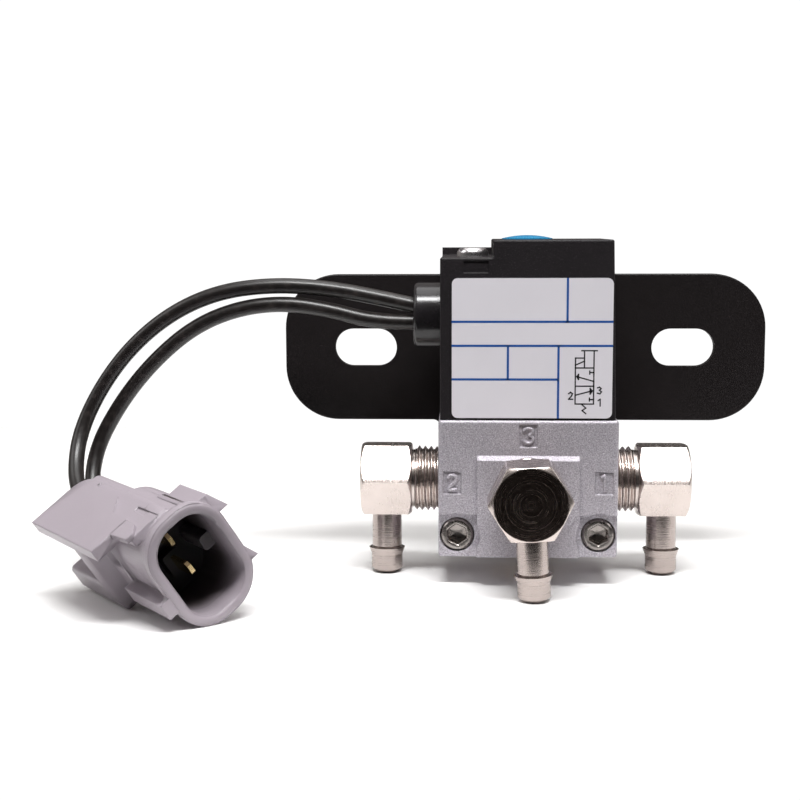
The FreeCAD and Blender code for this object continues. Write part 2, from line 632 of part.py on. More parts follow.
def flux_frame():
    """A steel strap bent round the coil, tapped for its screws."""
    outer = box(-FRAME_HALF_WIDTH, FRAME_HALF_WIDTH, AXIS_Y - FRAME_HALF_DEPTH, AXIS_Y + FRAME_HALF_DEPTH,
                BODY_TOP, FRAME_TOP)
    outer = rounded(outer, FRAME_BEND_R, Y)
    inner = box(-FRAME_HALF_WIDTH + FRAME_THICK, FRAME_HALF_WIDTH - FRAME_THICK,
                AXIS_Y - FRAME_HALF_DEPTH, AXIS_Y + FRAME_HALF_DEPTH, FRAME_FLOOR, FRAME_CEILING)
    strap = outer.cut(inner)
    strap = strap.cut(rod(POLE_R + SEATED, (0, AXIS_Y, BODY_TOP), Z, FRAME_THICK))
    strap = strap.cut(rod(TUBE_R + SEATED, (0, AXIS_Y, FRAME_CEILING), Z, FRAME_THICK))
    strap = strap.cut(rod(PAN_SHANK_R + SEATED, (PAN_X, PAN_Y, FRAME_CEILING), Z, FRAME_THICK))
    for x in (-FRAME_SCREW_X, FRAME_SCREW_X):
        for y in (-FRAME_SCREW_Y, FRAME_SCREW_Y):
            strap = strap.cut(rod(FRAME_SCREW_R + SEATED, (x, AXIS_Y + y, BODY_TOP), Z, FRAME_THICK))
    return strap


def frame_screws():
    """Four screws up through the body into the coil frame."""
    length = BODY_HEIGHT - BOTTOM_PLUG_RECESS - FRAME_SCREW_HEAD + FRAME_THICK
    socket = hexagon(FRAME_SCREW_HEX, FRAME_SCREW_HEX_DEPTH).translated(Vector(0, 0, -FRAME_SCREW_HEAD))
    screw = rod(FRAME_SCREW_HEAD_R, (0, 0, -FRAME_SCREW_HEAD), Z, FRAME_SCREW_HEAD)
    screw = screw.fuse(rod(FRAME_SCREW_R, (0, 0, 0), Z, length)).cut(socket).removeSplitter()
    seat = BODY_BOTTOM + BOTTOM_PLUG_RECESS + FRAME_SCREW_HEAD
    copies = []
    for x in (-FRAME_SCREW_X, FRAME_SCREW_X):
        for y in (-FRAME_SCREW_Y, FRAME_SCREW_Y):
            copies.append(screw.translated(Vector(x, AXIS_Y + y, seat)))
    return Part.makeCompound(copies)


def bobbin():
    """A plastic spool between the frame's floor and ceiling."""
    low = FRAME_FLOOR + SEATED
    high = FRAME_CEILING - SEATED
    bore = TUBE_R + SEATED
    wall = bore + BOBBIN_WALL
    profile = [(bore, low), (BOBBIN_FLANGE_R, low), (BOBBIN_FLANGE_R, low + BOBBIN_FLANGE),
               (wall, low + BOBBIN_FLANGE), (wall, high - BOBBIN_FLANGE),
               (BOBBIN_FLANGE_R, high - BOBBIN_FLANGE), (BOBBIN_FLANGE_R, high), (bore, high)]
    return turned(profile).translated(Vector(0, AXIS_Y, 0))


def coil_winding():
    """The copper winding that fills the spool."""
    wall = TUBE_R + SEATED + BOBBIN_WALL + SEATED
    return ring(WINDING_R, wall, FRAME_FLOOR + BOBBIN_FLANGE + 2 * SEATED,
                FRAME_CEILING - BOBBIN_FLANGE - 2 * SEATED)


def pole_piece():
    """The fixed core: a nose sealed in the valve bore, a clamped flange and the pole."""
    nose = VALVE_BORE_R - SEATED
    groove = POLE_LOW + POLE_NOSE / 2 - GROOVE_WIDTH / 2
    profile = [(PIN_R + RUNNING, POLE_LOW), (nose, POLE_LOW), (nose, groove), (nose - 2 * RING_R, groove),
               (nose - 2 * RING_R, groove + GROOVE_WIDTH), (nose, groove + GROOVE_WIDTH),
               (nose, BODY_TOP - POLE_FLANGE), (POLE_FLANGE_R, BODY_TOP - POLE_FLANGE),
               (POLE_FLANGE_R, BODY_TOP), (POLE_R, BODY_TOP), (POLE_R, POLE_END), (PIN_R + RUNNING, POLE_END)]
    return turned(profile).translated(Vector(0, AXIS_Y, 0))


def guide_tube():
    """A thin closed-top tube on the pole, in which the armature slides."""
    low = FRAME_FLOOR + SEATED
    roof = TUBE_TOP - TUBE_TOP_THICK
    hole = BUTTON_STEM_R + RUNNING
    profile = [(TUBE_BORE_R, low), (TUBE_R, low), (TUBE_R, TUBE_TOP), (hole, TUBE_TOP),
               (hole, roof), (TUBE_BORE_R, roof)]
    return turned(profile).translated(Vector(0, AXIS_Y, 0))


def armature():
    """The steel plunger, bored for the push pin."""
    radius = TUBE_BORE_R - RUNNING
    hole = PIN_R + SEATED
    profile = [(hole, ARMATURE_LOW), (radius, ARMATURE_LOW), (radius, ARMATURE_TOP), (0, ARMATURE_TOP),
               (0, ARMATURE_LOW + PIN_IN_ARMATURE), (hole, ARMATURE_LOW + PIN_IN_ARMATURE)]
    return turned(profile).translated(Vector(0, AXIS_Y, 0))


def push_pin():
    """The pin from the armature down to the poppet's stem."""
    low = PORT_Z + STEM_TOP
    return rod(PIN_R, (0, AXIS_Y, low), Z, ARMATURE_LOW + PIN_IN_ARMATURE - low)


def poppet():
    """The stem and disc that close one seat or the other."""
    top = SEAT_FACE - TOUCH - POPPET_SEAL
    low = -SEAT_FACE + STROKE + TOUCH + POPPET_SEAL
    profile = [(0, -CUP_TOP - CUP_THICK), (STEM_R, -CUP_TOP - CUP_THICK), (STEM_R, low), (POPPET_R, low),
               (POPPET_R, top), (STEM_R, top), (STEM_R, STEM_TOP), (0, STEM_TOP)]
    return turned(profile).translated(Vector(0, AXIS_Y, PORT_Z))


def poppet_seals():
    """The two rubber faces of the disc."""
    top = PORT_Z + SEAT_FACE - TOUCH
    low = PORT_Z - SEAT_FACE + STROKE + TOUCH
    return Part.makeCompound([ring(POPPET_R, STEM_R + SEATED, top - POPPET_SEAL, top),
                              ring(POPPET_R, STEM_R + SEATED, low, low + POPPET_SEAL)])


def button():
    """The blue button: a shallow dome, a flange that keeps it in and a stem to the armature."""
    rim = CASE_TOP + BUTTON_PROUD
    flange = TOP_UNDER - TOUCH
    top = rim + BUTTON_DOME
    profile = [(0, ARMATURE_TOP + TOUCH), (BUTTON_STEM_R, ARMATURE_TOP + TOUCH),
               (BUTTON_STEM_R, flange - BUTTON_FLANGE), (BUTTON_FLANGE_R, flange - BUTTON_FLANGE),
               (BUTTON_FLANGE_R, flange), (BUTTON_R, flange), (BUTTON_R, rim)]
    points = [Vector(r, 0, h) for r, h in profile]
    edges = [Part.LineSegment(a, b).toShape() for a, b in zip(points, points[1:])]
    sphere_r = (BUTTON_R ** 2 + BUTTON_DOME ** 2) / (2 * BUTTON_DOME)
    half = BUTTON_R / 2
    shoulder = Vector(half, 0, top - sphere_r + math.sqrt(sphere_r ** 2 - half ** 2))
    edges.append(Part.Arc(points[-1], shoulder, Vector(0, 0, top)).toShape())
    edges.append(Part.LineSegment(Vector(0, 0, top), points[0]).toShape())
    solid = Part.Face(Part.Wire(edges)).revolve(Vector(0, 0, 0), Z, 360)
    return solid.translated(Vector(0, AXIS_Y, 0))


# Bottom plug and the springs

def bottom_plug():
    """The plug that closes the valve bore and carries the return spring."""
    low = BODY_BOTTOM + BOTTOM_PLUG_RECESS
    radius = VALVE_BORE_R - SEATED
    groove = (low + BOTTOM_PLUG_TOP - GROOVE_WIDTH) / 2
    profile = [(0, low), (radius, low), (radius, groove), (radius - 2 * RING_R, groove),
               (radius - 2 * RING_R, groove + GROOVE_WIDTH), (radius, groove + GROOVE_WIDTH),
               (radius, BOTTOM_PLUG_TOP), (0, BOTTOM_PLUG_TOP)]
    slot = box(-BOTTOM_SLOT_LONG / 2, BOTTOM_SLOT_LONG / 2, AXIS_Y - BOTTOM_SLOT_WIDTH / 2,
               AXIS_Y + BOTTOM_SLOT_WIDTH / 2, low, low + BOTTOM_SLOT_DEPTH)
    return turned(profile).translated(Vector(0, AXIS_Y, 0)).cut(slot)


# Leads

def lead(route):
    """A round lead along straight runs joined by tangent arcs."""
    points = [Vector(*spot) for spot in route]
    edges = []
    start = points[0]
    for before, corner, after in zip(points, points[1:], points[2:]):
        arrive = corner - before
        leave = after - corner
        cut = 0.45 * min(arrive.Length, leave.Length)
        turn = arrive.getAngle(leave)
        arc_r = cut / math.tan(turn / 2)
        first = corner - arrive.normalize() * cut
        last = corner + leave.normalize() * cut
        inward = (first + last) * 0.5 - corner
        middle = corner + inward.normalize() * (arc_r / math.cos(turn / 2) - arc_r)
        edges.append(Part.LineSegment(start, first).toShape())
        edges.append(Part.Arc(first, middle, last).toShape())
        start = last
        print("arc radius %.1f, turn %.0f degrees" % (arc_r, math.degrees(turn)))
    edges.append(Part.LineSegment(start, points[-1]).toShape())
    path = Part.Wire(edges)
    section = Part.Wire([Part.makeCircle(LEAD_R, points[0], points[1] - points[0])])
    tube = path.makePipeShell([section], True, False)
    share = tube.Volume / (math.pi * LEAD_R ** 2 * path.Length)
    print("lead length %.1f, volume / (section x length) %.4f" % (path.Length, share))
    return tube


# Connector, in its own axes: X width, Y rearward from the mouth, Z height

def plug_turn():
    """How the connector's own axes lie on the floor."""
    heading = Rotation(Z, PLUG_HEADING)
    return heading.multiply(Rotation(X, -PLUG_NOSE_UP)).multiply(Rotation(Y, PLUG_ROLL))


def on_floor(shape):
    """The shape at the connector's place."""
    return placed(shape, PLUG_MOUTH, plug_turn())


def sleeve(grow, start, end):
    """The sleeve's outline, grown by a wall, between two depths."""
    shape = box(PLUG_LEFT - grow, PLUG_RIGHT + grow, start, end, PLUG_LOW - grow, PLUG_HIGH + grow)
    return rounded(shape, PLUG_CORNER_R + grow, Y)


def side_plate():
    """The flat plate on the connector's left, round at one rear corner, with a lower pad in front."""
    plate = box(PLATE_FACE, PLATE_ROOT, PLATE_START, PLUG_LONG, PLATE_LOW, PLATE_HIGH)
    corner = [e for e in plate.Edges
              if e.BoundBox.YMin > PLUG_LONG - TOUCH and e.BoundBox.ZMin > PLATE_HIGH - TOUCH]
    plate = plate.makeFillet(PLATE_BACK_R, corner)
    pad = box(PLATE_FACE + PAD_STEP, PLATE_ROOT, PAD_START, PLUG_LONG - PLATE_BACK_R, PAD_LOW, PAD_HIGH)
    return plate.fuse(pad)


def plug_housing():
    """One moulding: the socket sleeve with its rim and fins, and the square rear with its plate."""
    shape = sleeve(0, 0, PLUG_SLEEVE_LONG).fuse(sleeve(PLUG_RIM, 0, PLUG_RIM_LONG))
    rear = box(PLUG_BODY_LEFT, PLUG_BODY_RIGHT, PLUG_BODY_START, PLUG_LONG, PLUG_BODY_LOW, PLUG_BODY_HIGH)
    shape = shape.fuse(rounded(rear, PLUG_BODY_R, Y)).fuse(side_plate())
    leg = box(PLATE_ROOT, PLUG_BODY_RIGHT - PLUG_SMALL_R, LEG_START, LEG_END, FOOT_LOW, PLUG_BODY_LOW + SPARE)
    foot = box(FOOT_LEFT, PLUG_BODY_RIGHT, FOOT_START, FOOT_END, FOOT_LOW, PLUG_BODY_LOW + PLUG_BODY_R)
    shape = shape.fuse(leg).fuse(rounded(foot, PLUG_SMALL_R, Y))
    rail = box(RAIL_LEFT, RAIL_RIGHT, 0, PLUG_BODY_START + SPARE, RAIL_LOW, PLUG_LOW + SPARE)
    shape = shape.fuse(rail)
    for outline in (FIN_TOP, FIN_RIGHT):
        shape = shape.fuse(prism(outline, lambda a, b: Vector(a, FIN_START, b), Y, FIN_LONG))
    shape = shape.cut(sleeve(-PLUG_WALL, 0, PLUG_SOCKET_DEPTH))
    window = box(WINDOW_LEFT, WINDOW_RIGHT, WINDOW_START, WINDOW_END,
                 PLUG_BODY_LOW - SPARE, PLUG_BODY_LOW + WINDOW_DEPTH)
    shape = shape.cut(window)
    for side in (-1, 1):
        x = side * POLE_SPACING / 2
        shape = shape.cut(rod(CAVITY_R, (x, PLUG_LONG - CAVITY_DEPTH, 0), Y, CAVITY_DEPTH))
        shape = shape.cut(blade_box(x, SEATED))
    shape = shape.cut(retainer_box(SEATED))
    return shape.removeSplitter()


def blade_box(x, gap):
    """A terminal's straight blade, from its tip back into the cavity."""
    return box(x - BLADE_WIDTH / 2 - gap, x + BLADE_WIDTH / 2 + gap, BLADE_TIP_DEPTH - gap,
               BLADE_TIP_DEPTH + BLADE_LONG + gap, -BLADE_THICK / 2 - gap, BLADE_THICK / 2 + gap)


def terminals():
    """Two blade terminals with chamfered tips."""
    blades = []
    for side in (-1, 1):
        blade = blade_box(side * POLE_SPACING / 2, 0)
        tip = [e for e in blade.Edges
               if e.BoundBox.YMax < BLADE_TIP_DEPTH + 0.01 and e.BoundBox.ZLength > BLADE_THICK / 2]
        blades.append(blade.makeChamfer(BLADE_TIP_CHAMFER, tip))
    return Part.makeCompound(blades)


def retainer_box(gap):
    """The lock that slides in from the low side and holds the terminals."""
    return box(RETAINER_LEFT - gap, RETAINER_RIGHT + gap, RETAINER_START - gap, RETAINER_END + gap,
               PLUG_BODY_LOW - RETAINER_SINK, PLUG_BODY_LOW - RETAINER_SINK + RETAINER_THICK + gap)


def wire_seals():
    """Two rubber plugs in the connector's back, where the leads go in."""
    start = PLUG_LONG - WIRE_SEAL_RECESS - WIRE_SEAL_LONG
    seals = []
    for side in (-1, 1):
        spot = (side * POLE_SPACING / 2, start, 0)
        seals.append(rod(CAVITY_R - SEATED, spot, Y, WIRE_SEAL_LONG))
    return Part.makeCompound(seals)


def parts():
    """Every piece by name."""
    port_upper = PORT_Z + SEAT_FACE
    port_lower = PORT_Z - SEAT_FACE
    cup_low = PORT_Z - CUP_TOP - CUP_THICK
    seal_r = VALVE_BORE_R - SEATED - RING_R
    pieces = {
        "bracket": bracket(),
        "valve_body": valve_body(),
        "cap_screws": cap_screws(),
        "coil_housing": coil_housing(),
        "rating_label": rating_label(),
        "housing_screw": housing_screw(),
        "lead_collar": lead_collar(),
        "lead_seal": lead_seal(),
        "flux_frame": flux_frame(),
        "frame_screws": frame_screws(),
        "bobbin": bobbin(),
        "coil_winding": coil_winding(),
        "pole_piece": pole_piece(),
        "pole_seal": o_ring(seal_r, POLE_LOW + POLE_NOSE / 2),
        "guide_tube": guide_tube(),
        "armature": armature(),
        "push_pin": push_pin(),
        "poppet": poppet(),
        "poppet_seals": poppet_seals(),
        "upper_seat": ring(VALVE_BORE_R - SEATED, SEAT_HOLE_R, port_upper, port_upper + SEAT_THICK),
        "lower_seat": ring(VALVE_BORE_R - SEATED, SEAT_HOLE_R, port_lower - SEAT_THICK, port_lower),
        "spring_cup": ring(CUP_R, STEM_R + SEATED, cup_low, cup_low + CUP_THICK),
        "return_spring": coil_spring(RETURN_COIL_R, RETURN_WIRE_R, BOTTOM_PLUG_TOP, cup_low, RETURN_TURNS),
        "bottom_plug": bottom_plug(),
        "plug_seal": o_ring(seal_r, (BODY_BOTTOM + BOTTOM_PLUG_RECESS + BOTTOM_PLUG_TOP) / 2),
        "manual_button": button(),
        "button_spring": coil_spring(BUTTON_COIL_R, BUTTON_WIRE_R, TUBE_TOP,
                                     TOP_UNDER - TOUCH - BUTTON_FLANGE, BUTTON_TURNS),
        "lead_outer": lead(LEAD_OUTER),
        "lead_inner": lead(LEAD_INNER),
        "connector_housing": on_floor(plug_housing()),
        "connector_terminals": on_floor(terminals()),
        "connector_retainer": on_floor(retainer_box(0)),
        "wire_seals": on_floor(wire_seals()),
    }
    for name, shown, spot, turn in fittings():
        pieces["elbow_" + name] = placed(elbow(shown), spot, turn)
        pieces["barb_" + name] = placed(barb(), spot, turn)
    return pieces


os.makedirs("parts", exist_ok=True)
for name, shape in parts().items():
    shape.exportStep("parts/%s.step" % name)
    print("%s: %d solids, %.1f mm3, valid %s" % (name, len(shape.Solids), shape.Volume, shape.isValid()))
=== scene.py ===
"""The looks of the boost control solenoid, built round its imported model.

Places and sizes are written in millimetres, in the model's own frame, and become metres when a mesh is made.
"""
import json
import math

import bmesh
import bpy
from mathutils import Matrix, Vector


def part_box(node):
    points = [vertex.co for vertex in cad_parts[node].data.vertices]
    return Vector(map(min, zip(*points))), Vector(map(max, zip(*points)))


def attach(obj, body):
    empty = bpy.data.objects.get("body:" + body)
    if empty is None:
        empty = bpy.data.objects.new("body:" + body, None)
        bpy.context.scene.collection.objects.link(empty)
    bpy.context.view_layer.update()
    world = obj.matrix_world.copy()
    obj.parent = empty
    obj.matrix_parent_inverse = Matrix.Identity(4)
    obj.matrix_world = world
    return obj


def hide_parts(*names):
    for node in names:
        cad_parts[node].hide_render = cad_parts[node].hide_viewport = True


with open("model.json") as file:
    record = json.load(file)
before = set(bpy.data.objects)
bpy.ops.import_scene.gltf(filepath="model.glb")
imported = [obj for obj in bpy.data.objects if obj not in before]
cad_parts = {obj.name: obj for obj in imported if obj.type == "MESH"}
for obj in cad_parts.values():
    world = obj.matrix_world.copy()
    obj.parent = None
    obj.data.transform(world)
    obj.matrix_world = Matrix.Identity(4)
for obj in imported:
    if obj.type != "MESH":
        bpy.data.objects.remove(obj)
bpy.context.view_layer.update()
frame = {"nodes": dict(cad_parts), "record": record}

MM = 0.001
X = Vector((1, 0, 0))
Y = Vector((0, 1, 0))
Z = Vector((0, 0, 1))


def node_box(name):
    """A model node's lowest and highest corner in millimetres."""
    low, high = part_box(name)
    return low / MM, high / MM


# Sizes that follow the model

LABEL_LOW, LABEL_HIGH = node_box("rating_label")
FLOOR_Z = min(node_box(name)[0].z
              for name in ("barb_left", "barb_right", "barb_front", "connector_housing"))
AXIS_Y = -12.5
PORT_Z = -20.3
HALF_BODY = 13.8
BODY_FRONT = -23.5

# Camera, as the photograph was taken

CAMERA_SPOT = (-9.13, -236.6, 20.0)
CAMERA_PITCH = 7.01
CAMERA_YAW = -2.83
CAMERA_ROLL = -0.19
CAMERA_LENS = 63.135

# Leads

LEAD_DIAMETER = 2.5
LEAD_OUTER = [
    (-17.4, -12.5, 7.55), (-24.9, -12.4, 9.2), (-32.6, -12.1, 10.5), (-41.0, -11.7, 10.9),
    (-49.5, -11.2, 9.8), (-57.2, -10.8, 6.5), (-64.0, -10.6, 1.1), (-69.38, -10.64, -5.79),
    (-72.75, -12.39, -13.3), (-72.37, -17.18, -19.59), (-69.51, -22.63, -22.71), (-65.09, -27.9, -22.95),
]
LEAD_INNER = [
    (-17.4, -12.5, 4.95), (-24.3, -12.4, 5.0), (-31.2, -12.2, 6.9), (-38.6, -11.8, 8.0),
    (-46.2, -11.3, 7.2), (-53.7, -10.7, 4.2), (-60.7, -10.4, -1.6), (-66.56, -9.75, -8.64),
    (-70.62, -10.9, -16.36), (-70.35, -15.25, -23.43), (-67.3, -20.35, -27.21), (-62.77, -25.75, -27.46),
]

# Connector, in its own axes: width, rearward, height

PLUG_MOUTH = (-46.52, -47.57, -26.15)
PLUG_HEADING = 40.0
PLUG_NOSE_UP = -2.0
PLUG_ROLL = 55.0
PLUG_LEFT = -8.0
PLUG_RIGHT = 9.2
PLUG_LOW = -5.9
PLUG_HIGH = 6.25
PLUG_CORNER_R = 5.25
PLUG_SOCKET_DEPTH = 12.5
PLATE_FACE = -8.8       # the side plate's outer face
PAD_STEP = 0.5          # how far its middle lies back
SOCKET_MARGIN = 0.5     # between the sleeve's outside and where the painted shade of its inside starts
PLUG_TURN = (Matrix.Rotation(math.radians(PLUG_HEADING), 4, "Z")
             @ Matrix.Rotation(math.radians(-PLUG_NOSE_UP), 4, "X")
             @ Matrix.Rotation(math.radians(PLUG_ROLL), 4, "Y"))
PLUG_PLACE = Matrix.Translation(PLUG_MOUTH) @ PLUG_TURN


# Shader sums

class Reading:
    """One socket's value, so that a sum of sockets is written as a sum."""

    def __init__(self, finish, socket):
        self.finish = finish
        self.socket = socket

    def __add__(self, other):
        return self.finish.sum("ADD", self, other)

    def __sub__(self, other):
        return self.finish.sum("SUBTRACT", self, other)

    def __mul__(self, other):
        return self.finish.sum("MULTIPLY", self, other)

    def __truediv__(self, other):
        return self.finish.sum("DIVIDE", self, other)

    def __radd__(self, other):
        return self.finish.sum("ADD", other, self)

    def __rsub__(self, other):
        return self.finish.sum("SUBTRACT", other, self)

    def __rmul__(self, other):
        return self.finish.sum("MULTIPLY", other, self)

    def __pow__(self, other):
        return self.finish.sum("POWER", self, other)

    def __abs__(self):
        return self.finish.sum("ABSOLUTE", self, 0)

    def below(self, other):
        return self.finish.sum("LESS_THAN", self, other)

    def wave(self):
        return self.finish.sum("SINE", self, 0)

    def eased(self, start, end):
        """0 at start and before, 1 at end and after, and smooth between."""
        return self.finish.node("ShaderNodeMapRange", {"interpolation_type": "SMOOTHSTEP"},
                                {"Value": self, "From Min": start, "From Max": end})


class Finish:
    """One material, made node by node."""

    def __init__(self, name):
        self.material = bpy.data.materials.new(name)
        self.material.use_nodes = True
        self.tree = self.material.node_tree
        self.tree.nodes.clear()
        metres = self.node("ShaderNodeTexCoord", output="Object")
        self.place = self.node("ShaderNodeVectorMath", {"operation": "SCALE"},
                               {"Vector": metres, "Scale": 1 / MM})

    def node(self, kind, settings=None, values=None, output=0):
        """Adds a node. Its settings are set first, then the values or links of its sockets."""
        made = self.tree.nodes.new(kind)
        for name, value in (settings or {}).items():
            setattr(made, name, value)
        for name, value in (values or {}).items():
            if isinstance(value, Reading):
                self.tree.links.new(value.socket, made.inputs[name])
            else:
                made.inputs[name].default_value = value
        return None if output is None else Reading(self, made.outputs[output])

    def sum(self, operation, first, second):
        return self.node("ShaderNodeMath", {"operation": operation}, {0: first, 1: second})

    def noise(self, per_mm, detail=2.0, stretch=None):
        """Soft noise from 0 to 1, so many lumps to the millimetre."""
        place = self.place
        if stretch:
            place = self.node("ShaderNodeVectorMath", {"operation": "MULTIPLY"}, {0: place, 1: stretch})
        return self.node("ShaderNodeTexNoise", None, {"Vector": place, "Scale": per_mm, "Detail": detail})

    def mix(self, share, first, second):
        """A colour between two colours."""
        values = {0: share, 6: as_colour(first), 7: as_colour(second)}
        return self.node("ShaderNodeMix", {"data_type": "RGBA"}, values, 2)

    def from_axis(self, centre, along):
        """Distance from an axis in millimetres."""
        centred = self.node("ShaderNodeVectorMath", {"operation": "SUBTRACT"}, {0: self.place, 1: centre})
        crossed = self.node("ShaderNodeVectorMath", {"operation": "CROSS_PRODUCT"}, {0: centred, 1: along})
        return self.node("ShaderNodeVectorMath", {"operation": "LENGTH"}, {0: crossed}, "Value")

    def along_axis(self, centre, along):
        """Distance along an axis in millimetres."""
        centred = self.node("ShaderNodeVectorMath", {"operation": "SUBTRACT"}, {0: self.place, 1: centre})
        return self.node("ShaderNodeVectorMath", {"operation": "DOT_PRODUCT"}, {0: centred, 1: along}, "Value")

    def surface(self, colour, roughness, metallic=0.0, height=None, relief=0.01, edge=0.0, fixed=None):
        """Closes the material: relief is the height's real size and edge the edges' radius, in mm."""
        values = {"Base Color": as_colour(colour), "Roughness": roughness, "Metallic": metallic}
        values.update(fixed or {})
        bump = {}
        if edge:
            bump["Normal"] = self.node("ShaderNodeBevel", {"samples": 4}, {"Radius": edge * MM})
        if height is not None:
            bump.update({"Height": height, "Distance": relief * MM, "Strength": 1.0})
        if bump:
            values["Normal"] = self.node("ShaderNodeBump", None, bump)
        shader = self.node("ShaderNodeBsdfPrincipled", None, values)
        self.node("ShaderNodeOutputMaterial", None, {"Surface": shader}, None)
        return self.material


def as_colour(value):
    """A colour's socket, or its numbers with full cover."""
    return value if isinstance(value, Reading) else (*value, 1)


# Finishes

def powder_coat():
    """Black powder coat: low, close bumps and a soft sheen."""
    finish = Finish("bracket powder coat")
    fine = finish.noise(3.2, 3)
    wide = finish.noise(0.09, 2)
    colour = finish.mix(wide, (0.0050, 0.0034, 0.0038), (0.0085, 0.0062, 0.0066))
    dim = {"Specular IOR Level": 0.3}
    return finish.surface(colour, 0.40 + 0.14 * fine, height=fine, relief=0.035, fixed=dim)


def blasted_casting():
    """Bluish grey aluminium with a fine blasted grain that sparkles: smoother specks, whose colour is also
    lifted towards white as a painted glint.
    """
    finish = Finish("blasted aluminium")
    grain = finish.noise(4.6, 4)
    spark = finish.noise(9.0, 1).eased(0.60, 0.70)
    cloud = finish.noise(0.35, 3)
    base = finish.mix(cloud, (0.48, 0.45, 0.495), (0.59, 0.56, 0.61))
    base = finish.mix(grain.eased(0.35, 0.65), (0.34, 0.315, 0.35), base)
    # Painted glint: the sparkling specks are lightened towards white in the colour; their lower roughness is
    # real.
    colour = finish.mix(spark * 0.6, base, (0.92, 0.90, 0.92))
    return finish.surface(colour, 0.58 - 0.16 * spark, 0.55, height=grain, relief=0.06, edge=0.25)


def housing_plastic():
    """Purplish black moulding with a spark-eroded grain."""
    finish = Finish("housing plastic")
    grain = finish.noise(3.4, 3)
    fleck = finish.noise(6.5, 2).eased(0.60, 0.72)
    cloud = finish.noise(0.16, 2)
    base = finish.mix(cloud, (0.0070, 0.0055, 0.0068), (0.0135, 0.0105, 0.0125))
    colour = finish.mix(fleck * 0.5, base, (0.075, 0.062, 0.07))
    return finish.surface(colour, 0.46 + 0.16 * grain, height=grain, relief=0.05, edge=0.25,
                          fixed={"Specular IOR Level": 0.3})


def label_film():
    """Silvery grey film, faintly mottled."""
    finish = Finish("label film")
    cloud = finish.noise(0.12, 2)
    fine = finish.noise(5.0, 2)
    colour = finish.mix(cloud, (0.69, 0.67, 0.715), (0.74, 0.715, 0.76))
    return finish.surface(colour, 0.34 + 0.10 * fine, height=fine, relief=0.004)


def ink(name, first, second):
    """Printed ink with a little unevenness."""
    finish = Finish(name)
    uneven = finish.noise(2.5, 3)
    return finish.surface(finish.mix(uneven, first, second), 0.32 + 0.12 * uneven)


def nickel(name, centre, along, ring_per_mm, tone=(0.62, 0.55, 0.52), dull=(0.50, 0.44, 0.41),
           painted_dark_end_r=0.0):
    """Bright nickel with turning marks round an axis. Within the given end radius the turned end face is
    coloured dark, a painted reflection of the dark room in front.
    """
    finish = Finish(name)
    radius = finish.from_axis(centre, along)
    depth = finish.along_axis(centre, along)
    drift = finish.noise(0.5, 2)
    marks = finish.node("ShaderNodeCombineXYZ", None,
                        {0: radius * ring_per_mm, 1: depth * ring_per_mm, 2: drift * 1.5})
    rings = finish.node("ShaderNodeTexNoise", None, {"Vector": marks, "Scale": 1.0, "Detail": 3.0})
    stain = finish.noise(0.28, 3)
    colour = finish.mix(stain, tone, dull)
    if painted_dark_end_r:
        # Painted reflection: the flat end face near the axis is coloured dark, as if it mirrored the dark room
        # in front.
        painted_dark_face = radius.below(painted_dark_end_r) * depth.below(0.1)
        turned = finish.mix(rings.eased(0.45, 0.75), (0.20, 0.15, 0.13), (0.60, 0.50, 0.45))
        colour = finish.mix(painted_dark_face, colour, turned)
    roughness = 0.16 + 0.14 * rings + 0.06 * stain
    return finish.surface(colour, roughness, 1.0, height=rings, relief=0.012)


def dark_steel():
    """Oiled dark steel with paler worn spots."""
    finish = Finish("dark screw steel")
    worn = finish.noise(1.6, 3)
    fine = finish.noise(7.0, 2)
    colour = finish.mix(worn.eased(0.40, 0.70), (0.20, 0.19, 0.20), (0.42, 0.40, 0.40))
    return finish.surface(colour, 0.26 + 0.16 * fine, 0.95, height=fine, relief=0.006)


def bright_steel():
    """Bright zinc on the housing's screw."""
    finish = Finish("bright screw zinc")
    worn = finish.noise(1.2, 3)
    fine = finish.noise(5.0, 3)
    colour = finish.mix(worn, (0.78, 0.76, 0.77), (0.64, 0.62, 0.64))
    return finish.surface(colour, 0.20 + 0.18 * fine, 1.0, height=fine, relief=0.01)


def gloss_black():
    """Smooth black plastic of the lead collar."""
    finish = Finish("collar plastic")
    cloud = finish.noise(0.6, 2)
    colour = finish.mix(cloud, (0.010, 0.009, 0.010), (0.018, 0.016, 0.018))
    return finish.surface(colour, 0.17 + 0.10 * cloud)


def black_rubber():
    """Matt black rubber."""
    finish = Finish("black rubber")
    fine = finish.noise(2.0, 3)
    colour = finish.mix(fine, (0.010, 0.009, 0.009), (0.020, 0.018, 0.018))
    return finish.surface(colour, 0.62 + 0.12 * fine, height=fine, relief=0.02)


def lead_sheath():
    """Black lead sheath: smooth, with a soft sheen and faint scuffs."""
    finish = Finish("lead sheath")
    scuff = finish.noise(0.9, 4)
    fine = finish.noise(5.0, 2)
    colour = finish.mix(scuff.eased(0.45, 0.75), (0.0095, 0.0075, 0.0072), (0.024, 0.019, 0.018))
    return finish.surface(colour, 0.27 + 0.16 * scuff, height=fine, relief=0.006)


def azure_plastic():
    """The button's blue."""
    finish = Finish("azure plastic")
    cloud = finish.noise(0.7, 2)
    fine = finish.noise(4.0, 2)
    colour = finish.mix(cloud, (0.004, 0.16, 0.33), (0.008, 0.22, 0.42))
    return finish.surface(colour, 0.22 + 0.10 * fine, height=fine, relief=0.004)


